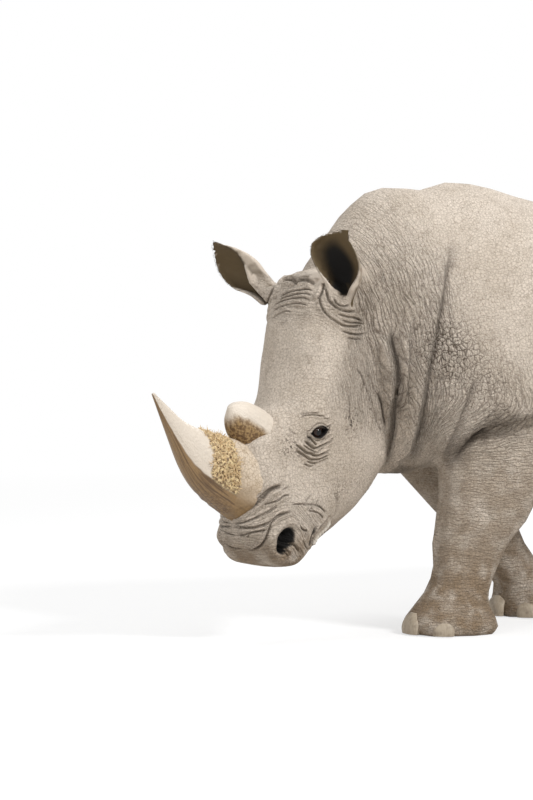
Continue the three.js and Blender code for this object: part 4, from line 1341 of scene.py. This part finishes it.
# A tapered strand with three sides: its line is root + way * t + bend * t^2 and its radius
# r * (1 - 0.85 t). Each one's OFBake patch stands at its root's own place on the skin.
def strands(roots, ways, bends, radii, rootPlace, steps=4):
    count = len(roots)
    t = np.linspace(0, 1, steps + 1)[None, :, None]
    line = roots[:, None] + ways[:, None] * t + bends[:, None] * t**2
    across = np.cross(ways, (0.31, 0.52, 0.8))
    across /= np.maximum(np.linalg.norm(across, axis=1), 1e-6)[:, None]
    third = np.cross(ways, across)
    third /= np.maximum(np.linalg.norm(third, axis=1), 1e-6)[:, None]
    turn = np.radians([0, 120, 240])
    ring = (np.cos(turn)[None, :, None] * across[:, None] + np.sin(turn)[None, :, None]
            * third[:, None])
    thick = (radii[:, None] * (1 - 0.85 * t[..., 0]))[..., None, None]
    points = (line[:, :, None] + thick * ring[:, None]).reshape(-1, 3)
    a = np.arange(steps)[:, None] * 3
    k = np.arange(3)[None, :]
    n = (k + 1) % 3
    quads = np.stack([a + k, a + n, a + n + 3, a + k + 3], axis=-1).reshape(-1, 4)
    start = np.arange(count)[:, None, None] * 3 * (steps + 1)
    caps = np.array([[2, 1, 0], [3 * steps, 3 * steps + 1, 3 * steps + 2]])
    faces = (quads[None] + start).reshape(-1, 4).tolist()
    faces += (caps[None] + start).reshape(-1, 3).tolist()
    local = np.stack(np.broadcast_arrays(k[None] / 3, np.linspace(0, 1, steps + 1)[None, :, None]),
                     axis=-1)
    patch = (rootPlace[:, None, None] + 0.003 * local).reshape(-1, 2)
    return points, faces, patch


def makeHair(name, dark, light):
    material, tree = newMaterial(name)
    place = node(tree, "TexCoord", {}).outputs["Object"]
    tone = node(tree, "TexNoise", {"Vector": place, "Scale": 120, "Detail": 2})
    base = node(tree, "Mix", {0: tone, 1: colour(dark), 2: colour(light)}, data_type="RGBA")
    surface = node(tree, "BsdfPrincipled", {"Base Color": base, "Roughness": 0.6, "IOR": 1.54})
    node(tree, "OutputMaterial", {"Surface": surface})
    return material


def addHair(name, made, material):
    points, faces, patch = made
    obj = makeObject(name, points, faces, material)
    pointMap(obj, "OFBake", patch)
    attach(obj, "root")


darkHair = makeHair("coarse dark hair", hair["dark"], hair["light"])
rng = np.random.default_rng(7)


def unit(vectors):
    return vectors / np.maximum(np.linalg.norm(vectors, axis=-1, keepdims=True), 1e-9)


# The ears' edges: short hair along both rims of each scoop, longest towards the tip.
def earFringe():
    parts, count = [], 300
    for number, ear in enumerate(head["ears"].values()):
        grid = earGrid(ear, 300, 44)
        up, _, out = earAxes(ear)
        for edge in (0, 43):
            rows = rng.integers(110, 298, count)
            share = rows / 300
            middle = grid[rows, 22]
            away = unit(grid[rows, edge] - middle)
            roots = grid[rows, edge] - 3.5 * away + rng.normal(0, 0.8, (count, 3))
            ways = unit(away + 0.6 * up + 0.35 * out + rng.normal(0, 0.3, (count, 3)))
            length = (3 + 3 * share**2) * rng.uniform(0.5, 1, count)
            place = np.stack([0.1 + 0.4 * number + 0.2 * (edge > 0) + 0 * share, share], axis=1)
            parts.append((roots, ways * length[:, None], rng.normal(0, 1, (count, 3)),
                          rng.uniform(0.25, 0.45, count), place))
    return strands(*(np.concatenate(column) for column in zip(*parts)), steps=3)


# Lashes stand on the upper lid's edge and curve out and down.
def lashes():
    parts = []
    for side in (1, -1):
        count = 46
        back = rng.uniform(-26, 30, count)
        down = -eye["above"] * (1 - (back / eye["length"]) ** 2) ** 0.7 - 1
        out = np.sqrt(np.maximum(eye["lidRadius"] ** 2 - back**2 - down**2, 0)) + 2
        roots = (np.array(eye["at"]) + back[:, None] * cornerWay + down[:, None] * lidWay
                 + out[:, None] * np.array([0, 1, 0]))
        ways = (np.array([0, 1, 0]) * 9 + lidWay * 3 + back[:, None] * cornerWay * 0.12
                + rng.normal(0, 1.6, (count, 3)))
        bends = np.ones((count, 1)) * lidWay * 5
        turned = [fromHead(roots * (1, side, 1))]
        turned += [(vector * (1, side, 1)) @ headAxes() for vector in (ways, bends)]
        place = np.stack([0.5 + 0.2 * side + back / 400, 0.5 + 0 * back], axis=1)
        parts.append((*turned, rng.uniform(0.5, 0.75, count), place))
    return strands(*(np.concatenate(column) for column in zip(*parts)), steps=4)


# The tail's brush: stiff hair from the flat end of the tail, downwards.
def tailBrush():
    count = 260
    turn = rng.uniform(0, 2 * np.pi, count)
    height = rng.uniform(616, 700, count)
    middle = np.stack([-1418 + 0 * turn, 0 * turn, height], axis=1)
    out = np.stack([np.cos(turn) * 0.8, np.sin(turn), 0 * turn], axis=1)
    roots = middle + out * 13
    length = rng.uniform(70, 170, count)
    ways = unit(out * 0.16 + np.array([0, 0, -1]) + rng.normal(0, 0.07, (count, 3)))
    place = np.stack([turn / (2 * np.pi), (height - 600) / 200], axis=1)
    return strands(roots, ways * length[:, None], rng.normal(0, 8, (count, 3)),
                   rng.uniform(0.9, 1.5, count), place, steps=5)


# The frayed band: coarse curls of horn fibre, split from the front horn all round but for its
# face. A root is kept if its height over the band's slope lies within the band.
def frayedBand():
    rows = np.array([[*row[:5]] for row in horns["front"]])
    level = rng.uniform(60, 400, 6500)
    turn = rng.uniform(0, 2 * np.pi, 6500)
    top, low, half = (np.interp(level, rows[:, 1], rows[:, k]) for k in (0, 2, 4))
    ahead = (top + low) / 2 + (top - low) / 2 * np.sin(turn)
    height = level + horns["bandSlope"] * (ahead - 850) + rng.normal(0, 5, 6500)
    aside = np.abs((turn / (2 * np.pi) - 0.25 + 0.5) % 1 - 0.5)
    kept = (height > horns["band"][0]) & (height < horns["band"][1]) & (aside > 0.165)
    level, turn, half, ahead = (values[kept] for values in (level, turn, half, ahead))
    count = len(level)
    roots = np.stack([ahead, half * np.cos(turn), level], axis=1)
    out = unit(np.stack([np.sin(turn), np.cos(turn), 0 * turn], axis=1))
    roots -= out * 2
    ways = unit(out * 0.5 + rng.normal(0, 0.6, (count, 3)) + np.array([0, 0, -0.1]))
    length = rng.uniform(10, 19, count)
    place = np.stack([turn / (2 * np.pi), level / 640], axis=1)
    made = (fromHead(roots), (ways * length[:, None]) @ headAxes(),
            rng.normal(0, 6, (count, 3)), rng.uniform(2.4, 4.0, count), place)
    return strands(*made, steps=4)


addHair("earFringe", earFringe(), darkHair)
addHair("lashes", lashes(), darkHair)
addHair("tailBrush", tailBrush(), darkHair)
addHair("frayedBand", frayedBand(),
        makeHair("split horn fibres", hair["strawDark"], hair["straw"]))
print("hair made")

stage = {"floor": 60, "glow": 0.6, "ambient": 0.45}


# 1 for rays that reach the camera straight, off a gloss or through glass, and 0 for the rest.
def seenShare(tree):
    ray = node(tree, "LightPath", {}).outputs
    seen = 0.0
    for kind in ("Is Camera Ray", "Is Glossy Ray", "Is Transmission Ray"):
        seen = node(tree, "Math", {0: seen, 1: ray[kind]}, operation="MAXIMUM")
    return seen


# Pale floor: seen directly it glows most of the way to white and still keeps the shadow.
def makeFloor():
    material, tree = newMaterial("pale studio floor")
    plain = node(tree, "BsdfDiffuse", {"Color": colour("#c9c4be")})
    white = node(tree, "BsdfDiffuse", {"Color": colour("#ffffff")})
    glow = node(tree, "Emission", {"Color": colour("#ffffff"), "Strength": 1.0})
    away = node(tree, "VectorMath", {0: node(tree, "TexCoord", {}).outputs["Object"]},
                operation="LENGTH")
    share = node(tree, "MapRange", {"Value": away, "From Min": 3.0, "From Max": 9.0,
                                    "To Min": stage["glow"], "To Max": 1.0})
    shown = node(tree, "MixShader", {0: share, 1: white, 2: glow})
    both = node(tree, "MixShader", {0: seenShare(tree), 1: plain, 2: shown})
    node(tree, "OutputMaterial", {"Surface": both})
    return material


half = stage["floor"] * 1000
corners = np.array([[-half, -half, 0], [half, -half, 0], [half, half, 0], [-half, half, 0]], float)
floor = makeObject("floor", corners, [[0, 1, 2, 3]], makeFloor())

world = bpy.data.worlds.new("studio")
bpy.context.scene.world = world
world.use_nodes = True
sky = world.node_tree
sky.nodes.clear()
plain = node(sky, "Background", {"Color": (1, 1, 1, 1), "Strength": stage["ambient"]})
white = node(sky, "Background", {"Color": (1, 1, 1, 1), "Strength": 1.0})
both = node(sky, "MixShader", {0: seenShare(sky), 1: plain, 2: white})
node(sky, "OutputWorld", {"Surface": both})

lamps = {  # place, size in metres, watts
    "key": ((2.8, -7.7, 7.4), 2.2, 860),
    "fill": ((-8.0, -3.5, 3.6), 4.0, 200),
    "top": ((-0.5, 1.5, 7.5), 5.0, 205),
    "back": ((6.0, 7.0, 4.5), 4.0, 160),
}
for name, (place, size, watts) in lamps.items():
    lamp = bpy.data.lights.new(name, "AREA")
    lamp.size = size
    lamp.energy = watts
    obj = bpy.data.objects.new(name, lamp)
    bpy.context.scene.collection.objects.link(obj)
    obj.location = place
    way = Vector((-0.2, 0, 0.9)) - Vector(place)
    obj.rotation_euler = way.to_track_quat("-Z", "Y").to_euler()

view = bpy.data.cameras.new("camera")
camera = bpy.data.objects.new("camera", view)
bpy.context.scene.collection.objects.link(camera)
camera.location = (-6.071, -10.784, 1.4)
camera.rotation_euler = np.radians([87.5, 0, -25])
view.lens = 143.55
view.clip_end = 200
bpy.context.scene.camera = camera
bpy.context.scene.view_settings.view_transform = "Standard"

print("scene made")
